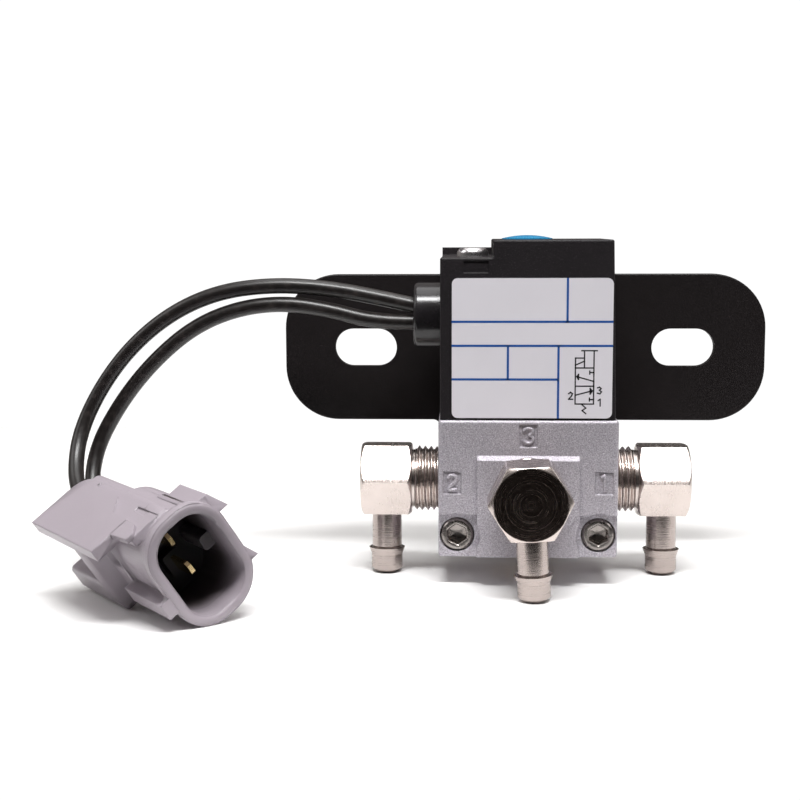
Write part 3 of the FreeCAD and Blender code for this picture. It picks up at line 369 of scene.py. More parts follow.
def lilac_plastic():
    """The connector's grey plastic, slightly lilac and satin, with painted shade darkening it into the socket.
    """
    finish = Finish("connector plastic")
    cloud = finish.noise(0.10, 3)
    fine = finish.noise(3.0, 3)
    colour = finish.mix(cloud, (0.29, 0.255, 0.285), (0.345, 0.305, 0.34))
    across, depth, height = (finish.along_axis(PLUG_MOUTH, tuple(PLUG_TURN.col[axis][:3]))
                             for axis in range(3))
    centre = ((PLUG_LEFT + PLUG_RIGHT) / 2, (PLUG_LOW + PLUG_HIGH) / 2)
    half = ((PLUG_RIGHT - PLUG_LEFT) / 2 - SOCKET_MARGIN, (PLUG_HIGH - PLUG_LOW) / 2 - SOCKET_MARGIN)
    reach = (abs(across - centre[0]) / half[0]) ** 4 + (abs(height - centre[1]) / half[1]) ** 4
    # Painted shade: within the socket's outline the plastic is coloured darker the deeper it lies.
    painted_socket_shade = reach.below(1.0) * depth.eased(0.4, 7.0) * depth.below(PLUG_SOCKET_DEPTH + 0.2)
    colour = finish.mix(painted_socket_shade, colour, (0.045, 0.036, 0.038))
    return finish.surface(colour, 0.32 + 0.12 * fine, height=fine, relief=0.012, edge=0.35)


def plain_metal(name, first, second, rough):
    """A metal of the inner works, with fine turning grain."""
    finish = Finish(name)
    worn = finish.noise(1.0, 3)
    fine = finish.noise(3.0, 2, (1.0, 1.0, 6.0))
    colour = finish.mix(worn, first, second)
    return finish.surface(colour, rough + 0.12 * fine, 1.0, height=fine, relief=0.006)


def plain_plastic(name, first, second, rough):
    """A plastic of the inner works."""
    finish = Finish(name)
    worn = finish.noise(0.8, 3)
    return finish.surface(finish.mix(worn, first, second), rough + 0.1 * worn, height=worn, relief=0.01)


WIRE_PITCH = 0.35


def copper_turns():
    """Copper wire laid turn by turn, with painted shade in the grooves between the turns."""
    finish = Finish("copper winding")
    height = finish.along_axis((0, AXIS_Y, 0), (0, 0, 1))
    turns = (height * 2 * math.pi / WIRE_PITCH).wave()
    # Painted shade: the colour darkens towards the grooves between turns, while the height gives the real
    # ridges.
    colour = finish.mix(turns.eased(-1.0, 0.4), (0.22, 0.055, 0.015), (0.66, 0.24, 0.10))
    return finish.surface(colour, 0.28, 0.9, height=turns, relief=0.08)


def pale_floor():
    """The studio's white table."""
    finish = Finish("studio floor")
    cloud = finish.noise(0.01, 2)
    return finish.surface(finish.mix(cloud, (0.93, 0.925, 0.92), (0.95, 0.948, 0.945)), 0.55)


# Meshes

WELD = 0.0005           # points nearer than this are one


def new_piece(name, points, faces, material, place=None):
    """A mesh from points in millimetres, shaded smooth with its sharp edges kept."""
    mesh = bpy.data.meshes.new(name)
    mesh.from_pydata([tuple(point) for point in points], [], faces)
    built = bmesh.new()
    built.from_mesh(mesh)
    bmesh.ops.remove_doubles(built, verts=built.verts, dist=WELD)
    bmesh.ops.dissolve_degenerate(built, edges=built.edges, dist=WELD)
    bmesh.ops.recalc_face_normals(built, faces=built.faces)
    bmesh.ops.transform(built, matrix=Matrix.Scale(MM, 4) @ (place or Matrix()), verts=built.verts)
    built.to_mesh(mesh)
    built.free()
    return finished(name, mesh, material)


def finished(name, mesh, material, sharp_over=38.0):
    """An object for a mesh, with smooth faces and weighted normals."""
    piece = bpy.data.objects.new(name, mesh)
    bpy.context.scene.collection.objects.link(piece)
    mesh.materials.append(material)
    mesh.polygons.foreach_set("use_smooth", [True] * len(mesh.polygons))
    mesh.set_sharp_from_angle(angle=math.radians(sharp_over))
    weighted = piece.modifiers.new("weighted normals", "WEIGHTED_NORMAL")
    weighted.keep_sharp = True
    return piece


def lathe(profile, steps=96):
    """Points and faces of a turned shape. profile(angle) gives its (radius, height) points at an angle."""
    rows = [profile(2 * math.pi * step / steps) for step in range(steps)]
    count = len(rows[0])
    points = []
    for step, row in enumerate(rows):
        angle = 2 * math.pi * step / steps
        points += [(r * math.cos(angle), r * math.sin(angle), h) for r, h in row]
    faces = []
    for step in range(steps):
        here, after = step * count, (step + 1) % steps * count
        for row in range(count - 1):
            faces.append((here + row, after + row, after + row + 1, here + row + 1))
    return points, faces


def softened(outline, radius, steps=3, closed=False):
    """An outline of (a, b) points with its corners turned into small arcs."""
    made = []
    count = len(outline)
    for index, corner in enumerate(outline):
        if not closed and index in (0, count - 1):
            made.append(tuple(corner))
            continue
        corner = Vector(corner)
        before = Vector(outline[index - 1]) - corner
        after = Vector(outline[(index + 1) % count]) - corner
        reach = min(radius, 0.45 * before.length, 0.45 * after.length)
        start = corner + before.normalized() * reach
        end = corner + after.normalized() * reach
        for step in range(steps + 1):
            share = step / steps
            point = start * (1 - share) ** 2 + corner * 2 * share * (1 - share) + end * share ** 2
            made.append((point.x, point.y))
    return made


def hex_radius(angle, across, corner_r=0.0):
    """Distance from a hexagon's centre to its edge; its corners point along 0, 60, 120... degrees."""
    turn = abs((math.degrees(angle) + 30) % 60 - 30)
    flat = across / 2 / math.cos(math.radians(30 - turn))
    round_centre = (across / 2 - corner_r) / math.cos(math.radians(30))
    lean = math.radians(turn)
    under = corner_r ** 2 - (round_centre * math.sin(lean)) ** 2
    if corner_r <= 0 or under <= 0:
        return flat
    return min(flat, round_centre * math.cos(lean) + math.sqrt(under))


def sheet_mesh(outline, place, low, high):
    """A flat plate between two heights, from a closed outline; place(a, b, height) gives points."""
    count = len(outline)
    points = [place(a, b, low) for a, b in outline] + [place(a, b, high) for a, b in outline]
    faces = [tuple(range(count)), tuple(range(2 * count - 1, count - 1, -1))]
    for index in range(count):
        after = (index + 1) % count
        faces.append((index, after, count + after, count + index))
    return points, faces


def joined(shapes):
    """Several (points, faces) shapes as one."""
    points, faces = [], []
    for some_points, some_faces in shapes:
        start = len(points)
        points += some_points
        faces += [tuple(start + index for index in face) for face in some_faces]
    return points, faces


# Materials by slot

MATERIAL = {
    "bracket_black": powder_coat(),
    "body_cast": blasted_casting(),
    "screw_dark": dark_steel(),
    "screw_bright": bright_steel(),
    "housing_plastic": housing_plastic(),
    "label_sheet": label_film(),
    "collar_plastic": gloss_black(),
    "rubber_black": black_rubber(),
    "core_steel": plain_metal("core steel", (0.48, 0.47, 0.46), (0.60, 0.59, 0.58), 0.24),
    "bobbin_plastic": plain_plastic("bobbin plastic",
                                    (0.015, 0.014, 0.014), (0.03, 0.028, 0.028), 0.4),
    "winding_copper": copper_turns(),
    "valve_brass": plain_metal("valve brass", (0.58, 0.40, 0.16), (0.68, 0.50, 0.22), 0.24),
    "spring_steel": plain_metal("spring steel", (0.55, 0.54, 0.53), (0.68, 0.67, 0.66), 0.20),
    "button_blue": azure_plastic(),
    "lead_sheath": lead_sheath(),
    "connector_plastic": lilac_plastic(),
    "retainer_plastic": plain_plastic("retainer plastic",
                                      (0.075, 0.068, 0.072), (0.11, 0.10, 0.105), 0.3),
    "terminal_gold": plain_metal("terminal plating", (0.83, 0.62, 0.30), (0.90, 0.72, 0.42), 0.18),
}
SLOT_OF = {row["node"]: row["material_slot"] for row in frame["record"]["subparts"]}

for name, node in frame["nodes"].items():
    node.data.materials.clear()
    if SLOT_OF[name] in MATERIAL:
        node.data.materials.append(MATERIAL[SLOT_OF[name]])


def fitted(piece, slot, *nodes, body="root"):
    """Sets a piece on its body, in the place of the nodes that it stands for."""
    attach(piece, body)
    if nodes:
        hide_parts(*nodes)
    return piece


# Elbow fittings, drawn with the thread pointing up Z and the barb pointing along -Y

HEX_ACROSS = 11.11
HEX_LENGTH = 8.15
HEX_END_R = 5.42
HEX_END_ANGLE = math.radians(30)
HEX_CORNER_R = 0.35
HEX_EDGE_R = 0.1
HEX_STEPS = 144
THREAD_SHOWN_LEFT = 4.4
THREAD_SHOWN_RIGHT = 3.9
THREAD_SHOWN_FRONT = 3.3
THREAD_STEPS = 96
THREAD_CREST_HALF = 0.06    # in pitches
THREAD_FLANK = 0.36         # in pitches
THREAD_FADE_IN = 0.35
THREAD_FADE_OUT = 0.2
THREAD_R = 5.15
THREAD_TAPER = 1 / 32
THREAD_PITCH = 0.94
THREAD_DEPTH = 0.5
THREAD_NECK = 0.45
THREAD_INSIDE = 0.6     # how far the drawn thread runs on inside the body
THREAD_SHARES = (0.0, 0.07, 0.2, 0.33, 0.45, 0.5, 0.55, 0.67, 0.8, 0.93)
BARB_FROM_END = 4.0
BARB_R = 2.38
BARB_BORE_R = 1.55
BARB_REACH = 15.2
BARB_TIP_LONG = 4.0
BARB_RING_R = 2.92
BARB_RING_LONG = 1.1
BARB_TIP_R = 2.5
BARB_END_CHAMFER = 0.65
BARB_SINK = 3.0
BARB_BORE_SEEN = 9.0
BARB_BORE_POINT = 0.6
BARB_NECK_LONG = 0.25
BARB_NECK_DEEP = 0.12
BARB_EDGE_R = 0.09


def fitting_place(inward, spot, clock):
    """Where an elbow goes: its own Z points inward and its own Y up, turned a little about the port."""
    straight = Matrix((Z.cross(inward), Z, inward)).transposed().to_4x4()
    return Matrix.Translation(spot) @ Matrix.Rotation(math.radians(clock), 4, inward) @ straight


def helix_thread(shown):
    """A V thread that winds round the neck and fades out at both ends."""
    steps = THREAD_STEPS
    rows = len(THREAD_SHARES)
    start = HEX_LENGTH + THREAD_NECK
    end = HEX_LENGTH + shown + THREAD_INSIDE
    turns = int((end - start) / THREAD_PITCH) + 2
    points, faces = [], []
    for row in range(-rows, turns * rows):
        share = THREAD_SHARES[row % rows]
        for step in range(steps):
            height = start + (row // rows + share + step / steps) * THREAD_PITCH
            height = min(max(height, start), end)
            crest = THREAD_R + (HEX_LENGTH + shown - height) * THREAD_TAPER
            lift = min(max(1 - (abs(share - 0.5) - THREAD_CREST_HALF) / THREAD_FLANK, 0), 1)
            fade = min(1, (height - start) / THREAD_FADE_IN, (end - height) / THREAD_FADE_OUT)
            radius = crest - THREAD_DEPTH * (1 - lift * fade)
            angle = 2 * math.pi * step / steps
            points.append((radius * math.cos(angle), radius * math.sin(angle), height))
    total = (turns + 1) * rows
    for row in range(total - 1):
        for step in range(steps):
            if step < steps - 1:
                right, above = row * steps + step + 1, (row + 1) * steps + step + 1
            elif row + 1 + rows < total:
                right, above = (row + rows) * steps, (row + rows + 1) * steps
            else:
                continue
            faces.append((row * steps + step, right, above, (row + 1) * steps + step))
    return points, faces


def elbow(name, shown, inward, spot, clock):
    """A hexagon bar with chamfered, slightly broken edges and a tapered thread."""
    # Only the front elbow's end face gets the painted dark reflection.
    painted_dark_end_r = HEX_END_R if name == "front" else 0.0
    material = nickel("nickel elbow " + name, tuple(spot), tuple(inward), 5.0, painted_dark_end_r=painted_dark_end_r)

    def bar(angle):
        flat = hex_radius(angle, HEX_ACROSS, HEX_CORNER_R)
        slope = (flat - HEX_END_R) * math.tan(HEX_END_ANGLE)
        outline = [(0, 0), (HEX_END_R, 0), (flat, slope), (flat, HEX_LENGTH - slope),
                   (HEX_END_R, HEX_LENGTH), (THREAD_R - THREAD_DEPTH, HEX_LENGTH),
                   (THREAD_R - THREAD_DEPTH, HEX_LENGTH + THREAD_NECK)]
        return softened(outline, HEX_EDGE_R, 2)

    points, faces = joined([lathe(bar, HEX_STEPS), helix_thread(shown)])
    piece = new_piece("elbow_fitting_" + name, points, faces, material, fitting_place(inward, spot, clock))
    return fitted(piece, "fitting_nickel", "elbow_" + name)


def hose_barb(name, inward, spot, clock):
    """A short tube with one sharp-backed ring and a chamfered end."""
    place = fitting_place(inward, spot, clock)
    down = place.to_3x3() @ -Y
    centre = place @ Vector((0, 0, BARB_FROM_END))
    # Painted shade: the barbs get a darker copy of the elbows' nickel colours.
    material = nickel("nickel barb " + name, tuple(centre), tuple(down), 7.0,
                      (0.47, 0.41, 0.385), (0.34, 0.29, 0.27))
    ring_top = BARB_REACH - BARB_TIP_LONG
    outline = [(BARB_R, HEX_ACROSS / 2 - BARB_SINK), (BARB_R, ring_top - BARB_NECK_LONG),
               (BARB_R - BARB_NECK_DEEP, ring_top),
               (BARB_RING_R, ring_top), (BARB_TIP_R, ring_top + BARB_RING_LONG),
               (BARB_TIP_R, BARB_REACH - BARB_END_CHAMFER), (BARB_TIP_R - BARB_END_CHAMFER, BARB_REACH),
               (BARB_BORE_R, BARB_REACH), (BARB_BORE_R, BARB_REACH - BARB_BORE_SEEN),
               (0, BARB_REACH - BARB_BORE_SEEN - BARB_BORE_POINT)]
    profile = softened(outline, BARB_EDGE_R, 2)
    points, faces = lathe(lambda angle: profile, 72)
    lying = place @ Matrix.Translation((0, 0, BARB_FROM_END)) @ Matrix.Rotation(math.radians(90), 4, "X")
    piece = new_piece("hose_barb_" + name, points, faces, material, lying)
    return fitted(piece, "barb_nickel", "barb_" + name)


FITTINGS = (
    ("left", THREAD_SHOWN_LEFT, X,
     Vector((-HALF_BODY - THREAD_SHOWN_LEFT - HEX_LENGTH, AXIS_Y, PORT_Z)), -2.5),
    ("right", THREAD_SHOWN_RIGHT, -X,
     Vector((HALF_BODY + THREAD_SHOWN_RIGHT + HEX_LENGTH, AXIS_Y, PORT_Z)), 2.0),
    ("front", THREAD_SHOWN_FRONT, Y,
     Vector((0, BODY_FRONT - THREAD_SHOWN_FRONT - HEX_LENGTH, PORT_Z)), -2.9),
)
for name, shown, inward, spot, clock in FITTINGS:
    elbow(name, shown, inward, spot, clock)
    hose_barb(name, inward, spot, clock)


# Cap screws, drawn with the head facing Z

CAP_SPOTS = ((-10.9, -22.5, -27.35), (10.9, -22.5, -27.35))
CAP_HEAD_R = 2.6
CAP_HEAD_TOP = 0.2
CAP_HEAD_LOW = -3.2
CAP_SHANK_R = 1.75
CAP_SHANK_LOW = -22.4
CAP_HEX = 2.78
CAP_HEX_DEPTH = 1.8
CAP_CHAMFER = 0.42
CAP_HEX_CORNER_R = 0.12
CAP_HEX_LEAD_WIDE = 0.22
CAP_HEX_LEAD_DEEP = 0.2
CAP_HEX_POINT = 0.35
CAP_EDGE_R = 0.07
CAP_TURNS = (6.0, 1.0)


def cap_screws():
    """Two socket head screws with a wide chamfer, a flat ring and a hexagon socket."""
    material = nickel("screw heads", (0, 0, 0), (0, 1, 0), 0.6, (0.36, 0.33, 0.31), (0.22, 0.20, 0.19))

    def section(angle):
        socket = hex_radius(angle, CAP_HEX, CAP_HEX_CORNER_R)
        outline = [(0, CAP_SHANK_LOW), (CAP_SHANK_R, CAP_SHANK_LOW), (CAP_SHANK_R, CAP_HEAD_LOW),
                   (CAP_HEAD_R, CAP_HEAD_LOW), (CAP_HEAD_R, CAP_HEAD_TOP - CAP_CHAMFER),
                   (CAP_HEAD_R - CAP_CHAMFER, CAP_HEAD_TOP), (socket + CAP_HEX_LEAD_WIDE, CAP_HEAD_TOP),
                   (socket, CAP_HEAD_TOP - CAP_HEX_LEAD_DEEP), (socket, CAP_HEAD_TOP - CAP_HEX_DEPTH),
                   (0, CAP_HEAD_TOP - CAP_HEX_DEPTH - CAP_HEX_POINT)]
        return softened(outline, CAP_EDGE_R, 2)

    shapes = []
    for spot, turn in zip(CAP_SPOTS, CAP_TURNS):
        place = Matrix.Translation(spot) @ Matrix.Rotation(math.radians(90), 4, "X")
        place = place @ Matrix.Rotation(math.radians(30 + turn), 4, "Z")
        points, faces = lathe(section)
        shapes.append(([place @ Vector(point) for point in points], faces))
    points, faces = joined(shapes)
    fitted(new_piece("cap_screw_heads", points, faces, material), "screw_dark", "cap_screws")


cap_screws()


# Port numerals, cast in relief in their recesses

NUMERAL_FLOOR = BODY_FRONT + 0.3
STROKE_R = 0.3
STROKE_PROUD = 0.04     # how far the stroke's middle stands before the recess floor
NUMERALS = (
    ((-11.66, -19.05), ((-0.68, 0.55), (-0.6, 0.95), (0, 1.18), (0.6, 0.95), (0.66, 0.45), (0.3, -0.1),
                        (-0.35, -0.65), (-0.72, -1.15), (0.0, -1.15), (0.74, -1.15))),
    ((11.66, -19.05), ((-0.42, 0.78), (0.0, 1.15), (0.08, 1.2), (0.08, 0.0), (0.08, -1.2))),
    ((0.0, -11.75), ((-0.7, 0.72), (-0.45, 1.08), (0.05, 1.18), (0.6, 0.95), (0.62, 0.35), (0.0, 0.08),
                     (0.62, -0.15), (0.72, -0.75), (0.35, -1.12), (-0.15, -1.18), (-0.6, -0.98),
                     (-0.74, -0.66))),
)


def port_numerals():
    """Round-topped strokes that shape each port's number."""
    curve = bpy.data.curves.new("port_numerals", "CURVE")
    curve.dimensions = "3D"
    curve.bevel_depth = STROKE_R * MM
    curve.bevel_resolution = 4
    curve.resolution_u = 8
    curve.use_fill_caps = True
    for (x, z), stroke in NUMERALS:
        spline = curve.splines.new("NURBS")
        spline.points.add(len(stroke) - 1)
        for point, (a, b) in zip(spline.points, stroke):
            point.co = (*(Vector((x + a, NUMERAL_FLOOR - STROKE_PROUD, z + b)) * MM), 1)
        spline.order_u = 3
        spline.use_endpoint_u = True
    piece = bpy.data.objects.new("port_numerals", curve)
    bpy.context.scene.collection.objects.link(piece)
    curve.materials.append(MATERIAL["body_cast"])
    fitted(piece, "body_cast")


port_numerals()


# Label print: ruled lines and a valve symbol, a hair in front of the film

PRINT_Y = LABEL_LOW.y - 0.012
BLUE_LINE = 0.34
BLACK_LINE = 0.2
RULES = (
    ((LABEL_LOW.x + 0.15, 5.75), (LABEL_HIGH.x - 0.15, 5.75)),
    ((LABEL_LOW.x + 0.15, 2.09), (LABEL_HIGH.x - 0.15, 2.09)),
    ((LABEL_LOW.x + 0.15, -3.05), (4.45, -3.05)),
    ((5.76, 5.75), (5.76, LABEL_HIGH.z - 0.15)),
    ((-3.21, 2.09), (-3.21, -3.05)),
    ((4.45, 2.09), (4.45, LABEL_LOW.z + 0.15)),
)


def printed(name, strokes, width, material):
    """Flat printed strokes between (x, z) points."""
    shapes = []
    for start, end in strokes:
        start, end = Vector(start), Vector(end)
        along = (end - start).normalized() * width / 2
        across = Vector((-along.y, along.x))
        corners = (start - along - across, end + along - across,
                   end + along + across, start - along + across)
        shapes.append(([(c.x, PRINT_Y, c.y) for c in corners], [(0, 1, 2, 3)]))
    points, faces = joined(shapes)
    fitted(new_piece(name, points, faces, material), "label_sheet")


# The symbol's strokes: solenoid and frame, then the flow paths, the spring and the port numbers
SYMBOL = (
    ((7.97, 1.36), (10.30, 1.36)), ((8.39, 1.36), (8.39, -1.27)), ((9.83, 1.36), (9.83, -6.79)),
    ((7.03, 0.24), (7.03, -6.79)), ((7.03, 0.24), (8.39, 0.24)), ((7.03, -0.84), (8.39, -0.23)),
    ((7.03, -1.27), (9.83, -1.27)), ((7.03, -4.05), (9.83, -4.05)), ((7.03, -6.79), (9.83, -6.79)),
    ((9.83, -3.32), (7.19, -2.58)), ((7.25, -2.62), (7.52, -2.25)), ((7.25, -2.62), (7.52, -3.02)),
    ((7.52, -2.25), (7.52, -3.02)),
    ((7.03, -5.44), (9.68, -4.75)), ((9.62, -4.8), (9.3, -4.4)), ((9.62, -4.8), (9.3, -5.25)),
    ((9.3, -4.4), (9.3, -5.25)),
    ((9.21, -1.97), (9.83, -1.97)), ((9.21, -1.75), (9.21, -2.2)),
    ((9.21, -6.1), (9.83, -6.1)), ((9.21, -5.88), (9.21, -6.32)),
    ((7.97, -6.79), (8.67, -7.41)), ((8.67, -7.41), (8.12, -7.8)), ((8.12, -7.8), (8.67, -8.26)),
    ((6.05, -5.2), (6.33, -4.99)), ((6.33, -4.99), (6.62, -5.2)), ((6.62, -5.2), (6.5, -5.55)),
    ((6.5, -5.55), (6.05, -6.06)), ((6.05, -6.06), (6.66, -6.06)),
    ((10.42, -4.3), (10.72, -4.2)), ((10.72, -4.2), (10.97, -4.42)), ((10.97, -4.42), (10.7, -4.66)),
    ((10.7, -4.66), (11.02, -4.92)), ((11.02, -4.92), (10.78, -5.22)), ((10.78, -5.22), (10.4, -5.12)),
    ((10.55, -6.25), (10.84, -6.05)), ((10.84, -6.05), (10.84, -7.08)),
)

printed("label_rules", RULES, BLUE_LINE, ink("label blue", (0.012, 0.07, 0.30), (0.02, 0.10, 0.36)))
printed("label_symbol", SYMBOL, BLACK_LINE, ink("label black", (0.008, 0.008, 0.010), (0.02, 0.02, 0.022)))


# Leads

def free_lead(name, route, node):
    """One round lead on a smooth curve, from the collar to the connector."""
    curve = bpy.data.curves.new(name, "CURVE")
    curve.dimensions = "3D"
    curve.bevel_depth = LEAD_DIAMETER / 2 * MM
    curve.bevel_resolution = 8
    curve.resolution_u = 16
    curve.use_fill_caps = True
    spline = curve.splines.new("NURBS")
    spline.points.add(len(route) - 1)
    for point, spot in zip(spline.points, route):
        point.co = (*(Vector(spot) * MM), 1)
    spline.order_u = 3
    spline.use_endpoint_u = True
    lead = bpy.data.objects.new(name, curve)
    bpy.context.scene.collection.objects.link(lead)
    curve.materials.append(MATERIAL["lead_sheath"])
    fitted(lead, "lead_sheath", node)


free_lead("lead_to_outer_pole", LEAD_OUTER, "lead_outer")
free_lead("lead_to_inner_pole", LEAD_INNER, "lead_inner")


# Connector details

def mouth_outline(grow, steps=10):
    """The mouth's rounded outline, as (width, height) points with the directions that they face."""
    radius = PLUG_CORNER_R + grow
    left, right = PLUG_LEFT - grow + radius, PLUG_RIGHT + grow - radius
    low, high = PLUG_LOW - grow + radius, PLUG_HIGH + grow - radius
    made = []
    for (x, z), first in (((right, high), 0), ((left, high), 90), ((left, low), 180), ((right, low), 270)):
        for step in range(steps + 1):
            angle = math.radians(first + 90 * step / steps)
            facing = Vector((math.cos(angle), math.sin(angle)))
            made.append((Vector((x, z)) + facing * radius, facing))
    return made


def swept(rings):
    """Faces between rings of points with the same count, each ring closed."""
    count = len(rings[0])
    points = [point for ring in rings for point in ring]
    faces = []
    for row in range(len(rings) - 1):
        for step in range(count):
            after = (step + 1) % count
            here, above = row * count, (row + 1) * count
            faces.append((here + step, here + after, above + after, above + step))
    return points, faces


# The rim's section from outside to inside: how far out from the mouth's outline, and how deep
RIM_SECTION = ((0.42, 1.75), (0.52, 1.3), (0.56, 0.6), (0.46, 0.12), (0.2, -0.14), (-0.25, -0.2),
               (-0.68, -0.1), (-0.95, 0.2), (-1.03, 0.7), (-1.05, 2.4), (-1.02, 3.2))


def mouth_rim():
    """The rolled edge round the mouth and the smooth way into the socket."""
    rings = []
    for out, depth in softened(RIM_SECTION, 0.3, 3):
        rings.append([(spot.x + facing.x * out, depth, spot.y + facing.y * out)
                      for spot, facing in mouth_outline(0)])
    points, faces = swept(rings)
    return new_piece("connector_mouth_rim", points, faces, MATERIAL["connector_plastic"], PLUG_PLACE)


def block(x0, x1, y0, y1, z0, z1, radius=0.3):
    """A block along the connector's depth with its long edges rounded."""
    outline = softened([(x0, z0), (x1, z0), (x1, z1), (x0, z1)], radius, 3, True)
    return sheet_mesh(outline, lambda a, b, depth: (a, depth, b), y0, y1)


KEY = (0.2, 2.6, 5.4, 12.4, 3.4, 5.5)      # lowest and highest width, depth and height
BLADE_APART = 5.5
SEAT_HALF_WIDE = 1.9
SEAT_HALF_HIGH = 1.5
SEAT_DEPTHS = (9.6, 12.4)
SOCKET_FLOOR_DEPTHS = (11.6, 12.45)
SOCKET_FLOOR_IN = 1.1


def connector_inside():
    """A key on the socket's wall, a dark floor and the seats round the blades."""
    key = block(*KEY, 0.6)
    fitted(new_piece("connector_key", *key, MATERIAL["retainer_plastic"], PLUG_PLACE), "retainer_plastic")
    seats = [block(x - SEAT_HALF_WIDE, x + SEAT_HALF_WIDE, *SEAT_DEPTHS, -SEAT_HALF_HIGH, SEAT_HALF_HIGH, 0.5)
             for x in (-BLADE_APART / 2, BLADE_APART / 2)]
    floor = [(spot.x - facing.x * SOCKET_FLOOR_IN, spot.y - facing.y * SOCKET_FLOOR_IN)
             for spot, facing in mouth_outline(0)]
    seats.append(sheet_mesh(floor, lambda a, b, depth: (a, depth, b), *SOCKET_FLOOR_DEPTHS))
    fitted(new_piece("connector_socket_floor", *joined(seats), MATERIAL["rubber_black"], PLUG_PLACE),
           "rubber_black")


def flat_block(outline, low, high):
    """A plate between two widths, from an outline of (depth, height) points."""
    return sheet_mesh(softened(outline, 0.25, 2, True), lambda depth, height, width: (width, depth, height),
                      low, high)


# Outlines on the side plate, as (depth, height) points: its sunk middle, and the step at its front
SUNK_MIDDLE = ((6.5, -2.7), (12.1, -2.5), (15.1, 0.3), (22.5, 0.4), (22.5, 3.0), (6.5, 3.0))
FRONT_STEP = ((7.5, -5.9), (3.0, -5.6), (3.0, -4.3), (4.7, -2.9), (7.6, -2.8))
FRONT_STEP_OVER = 0.3   # how far the front step reaches in past the sunk middle's floor


def connector_shell():
    """The solid's own shape with the steps, the groove and the cut-back fin that the moulding shows."""
    step = PLATE_FACE + PAD_STEP
    cutters = joined([
        flat_block(SUNK_MIDDLE, PLATE_FACE - 1, step - 0.02),
        block(PLATE_FACE - 1, step + 0.25, 5.6, 8.9, -0.85, 0.1, 0.1),
        block(PLATE_FACE - 1, step + 0.12, 1.7, 8.9, -0.2, 0.1, 0.05),
        block(-10.0, -6.7, 0.2, 9.4, 3.6, 7.5, 0.1)])
    cutter = new_piece("cutter", *cutters, MATERIAL["connector_plastic"], PLUG_PLACE)
    shell = bpy.data.objects.new("connector_shell", frame["nodes"]["connector_housing"].data.copy())
    bpy.context.scene.collection.objects.link(shell)
    cut = shell.modifiers.new("cut", "BOOLEAN")
    cut.operation = "DIFFERENCE"
    cut.solver = "EXACT"
    cut.use_self = True
    cut.object = cutter
    bpy.context.view_layer.update()
    mesh = bpy.data.meshes.new_from_object(shell.evaluated_get(bpy.context.evaluated_depsgraph_get()))
    bpy.data.objects.remove(shell)
    bpy.data.objects.remove(cutter)
    mesh.materials.clear()
    fitted(finished("connector_shell", mesh, MATERIAL["connector_plastic"], 30.0), "connector_plastic",
           "connector_housing")
    front = flat_block(FRONT_STEP, PLATE_FACE, step + FRONT_STEP_OVER)
    fitted(new_piece("connector_front_step", *front, MATERIAL["connector_plastic"], PLUG_PLACE),
           "connector_plastic")


connector_shell()
fitted(mouth_rim(), "connector_plastic")
connector_inside()


# Studio

TABLE_OUTLINE = ((-200.0, -68.0), (-34.0, -68.0), (-34.0, -50.0),
                 (180.0, -50.0), (180.0, 150.0), (-200.0, 150.0))


def table_top():
    """A pale table under the object, which ends a little in front of it."""
    points = [(x, y, FLOOR_Z) for x, y in TABLE_OUTLINE]
    floor = new_piece("studio_floor", points, [tuple(range(len(points)))], pale_floor())


def soft_light(name, spot, target, width, height, power):
    """A rectangular lamp turned towards a target."""
    lamp = bpy.data.lights.new(name, "AREA")
    lamp.shape = "RECTANGLE"
    lamp.size = width * MM
    lamp.size_y = height * MM
    lamp.energy = power
    light = bpy.data.objects.new(name, lamp)
    light.location = Vector(spot) * MM
    light.rotation_euler = (Vector(target) - Vector(spot)).to_track_quat("-Z", "Y").to_euler()
    bpy.context.scene.collection.objects.link(light)


# Each world share: where it starts and ends along its direction, and its strength there
WORLD_BACK = (-0.2, 0.6, 0.012, 0.14)
WORLD_TOP = (0.2, 0.85, 0.0, 0.22)
WORLD_SIDE = (0.5, 0.95, 0.0, 0.12)
WORLD_TINT = (1.0, 0.93, 0.88, 1)
SEEN_WHITE = 1.05


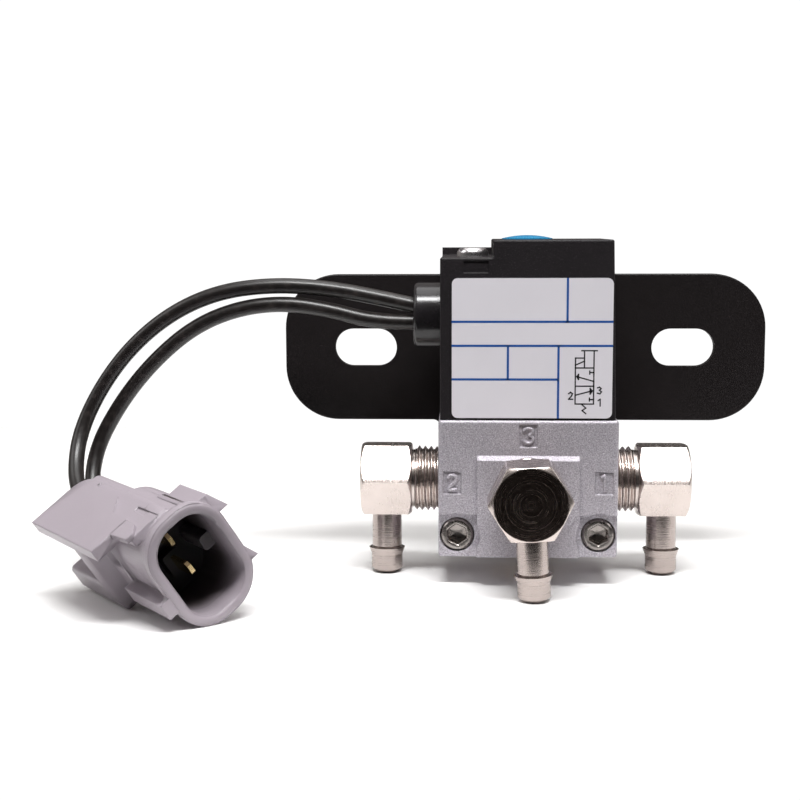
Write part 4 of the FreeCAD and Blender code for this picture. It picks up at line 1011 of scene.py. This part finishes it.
def surroundings():
    """A room that is bright behind, above and at the sides, dark in front, and white to the camera."""
    world = bpy.data.worlds.new("studio")
    bpy.context.scene.world = world
    world.use_nodes = True
    tree = world.node_tree
    tree.nodes.clear()

    def node(kind, values=None, **settings):
        made = tree.nodes.new(kind)
        for name, value in settings.items():
            setattr(made, name, value)
        for name, value in (values or {}).items():
            if isinstance(value, bpy.types.NodeSocket):
                tree.links.new(value, made.inputs[name])
            else:
                made.inputs[name].default_value = value
        return made

    split = node("ShaderNodeSeparateXYZ", {0: node("ShaderNodeTexCoord").outputs["Generated"]})

    def rise(axis, start, end, low, high):
        values = {"Value": split.outputs[axis], "From Min": start, "From Max": end,
                  "To Min": low, "To Max": high}
        return node("ShaderNodeMapRange", values, interpolation_type="SMOOTHSTEP").outputs[0]

    behind = rise("Y", *WORLD_BACK)
    above = rise("Z", *WORLD_TOP)
    side = node("ShaderNodeMath", {0: split.outputs["X"]}, operation="ABSOLUTE").outputs[0]
    beside = node("ShaderNodeMapRange", {"Value": side, "From Min": WORLD_SIDE[0], "From Max": WORLD_SIDE[1],
                                         "To Min": WORLD_SIDE[2], "To Max": WORLD_SIDE[3]}).outputs[0]
    together = node("ShaderNodeMath", {0: behind, 1: above}, operation="ADD").outputs[0]
    together = node("ShaderNodeMath", {0: together, 1: beside}, operation="ADD").outputs[0]
    room = node("ShaderNodeBackground", {"Color": WORLD_TINT, "Strength": together}).outputs[0]
    white = node("ShaderNodeBackground", {"Color": (1, 1, 1, 1), "Strength": SEEN_WHITE}).outputs[0]
    seen = node("ShaderNodeLightPath").outputs["Is Camera Ray"]
    mixed = node("ShaderNodeMixShader", {0: seen, 1: room, 2: white}).outputs[0]
    node("ShaderNodeOutputWorld", {"Surface": mixed})


def camera():
    """The camera, set as the photograph was taken."""
    made = bpy.data.cameras.new("camera")
    made.lens = CAMERA_LENS
    made.sensor_width = 36
    made.clip_start = 0.005
    made.clip_end = 20
    stand = bpy.data.objects.new("camera", made)
    turn = (Matrix.Rotation(math.radians(-CAMERA_YAW), 4, "Z")
            @ Matrix.Rotation(math.radians(90 - CAMERA_PITCH), 4, "X")
            @ Matrix.Rotation(math.radians(CAMERA_ROLL), 4, "Z"))
    stand.matrix_world = Matrix.Translation(Vector(CAMERA_SPOT) * MM) @ turn
    bpy.context.scene.collection.objects.link(stand)
    bpy.context.scene.camera = stand


table_top()
soft_light("top_box", (0, 60, 420), (0, 0, 0), 380, 300, 0.8)
soft_light("key_box", (0, -210, 385), (0, 0, -20), 280, 90, 2.7)
soft_light("left_box", (-380, -60, 260), (0, -20, -20), 160, 240, 0.36)
soft_light("right_box", (380, -60, 260), (0, -20, -20), 160, 240, 0.36)
surroundings()
camera()
bpy.context.scene.view_settings.view_transform = "Standard"
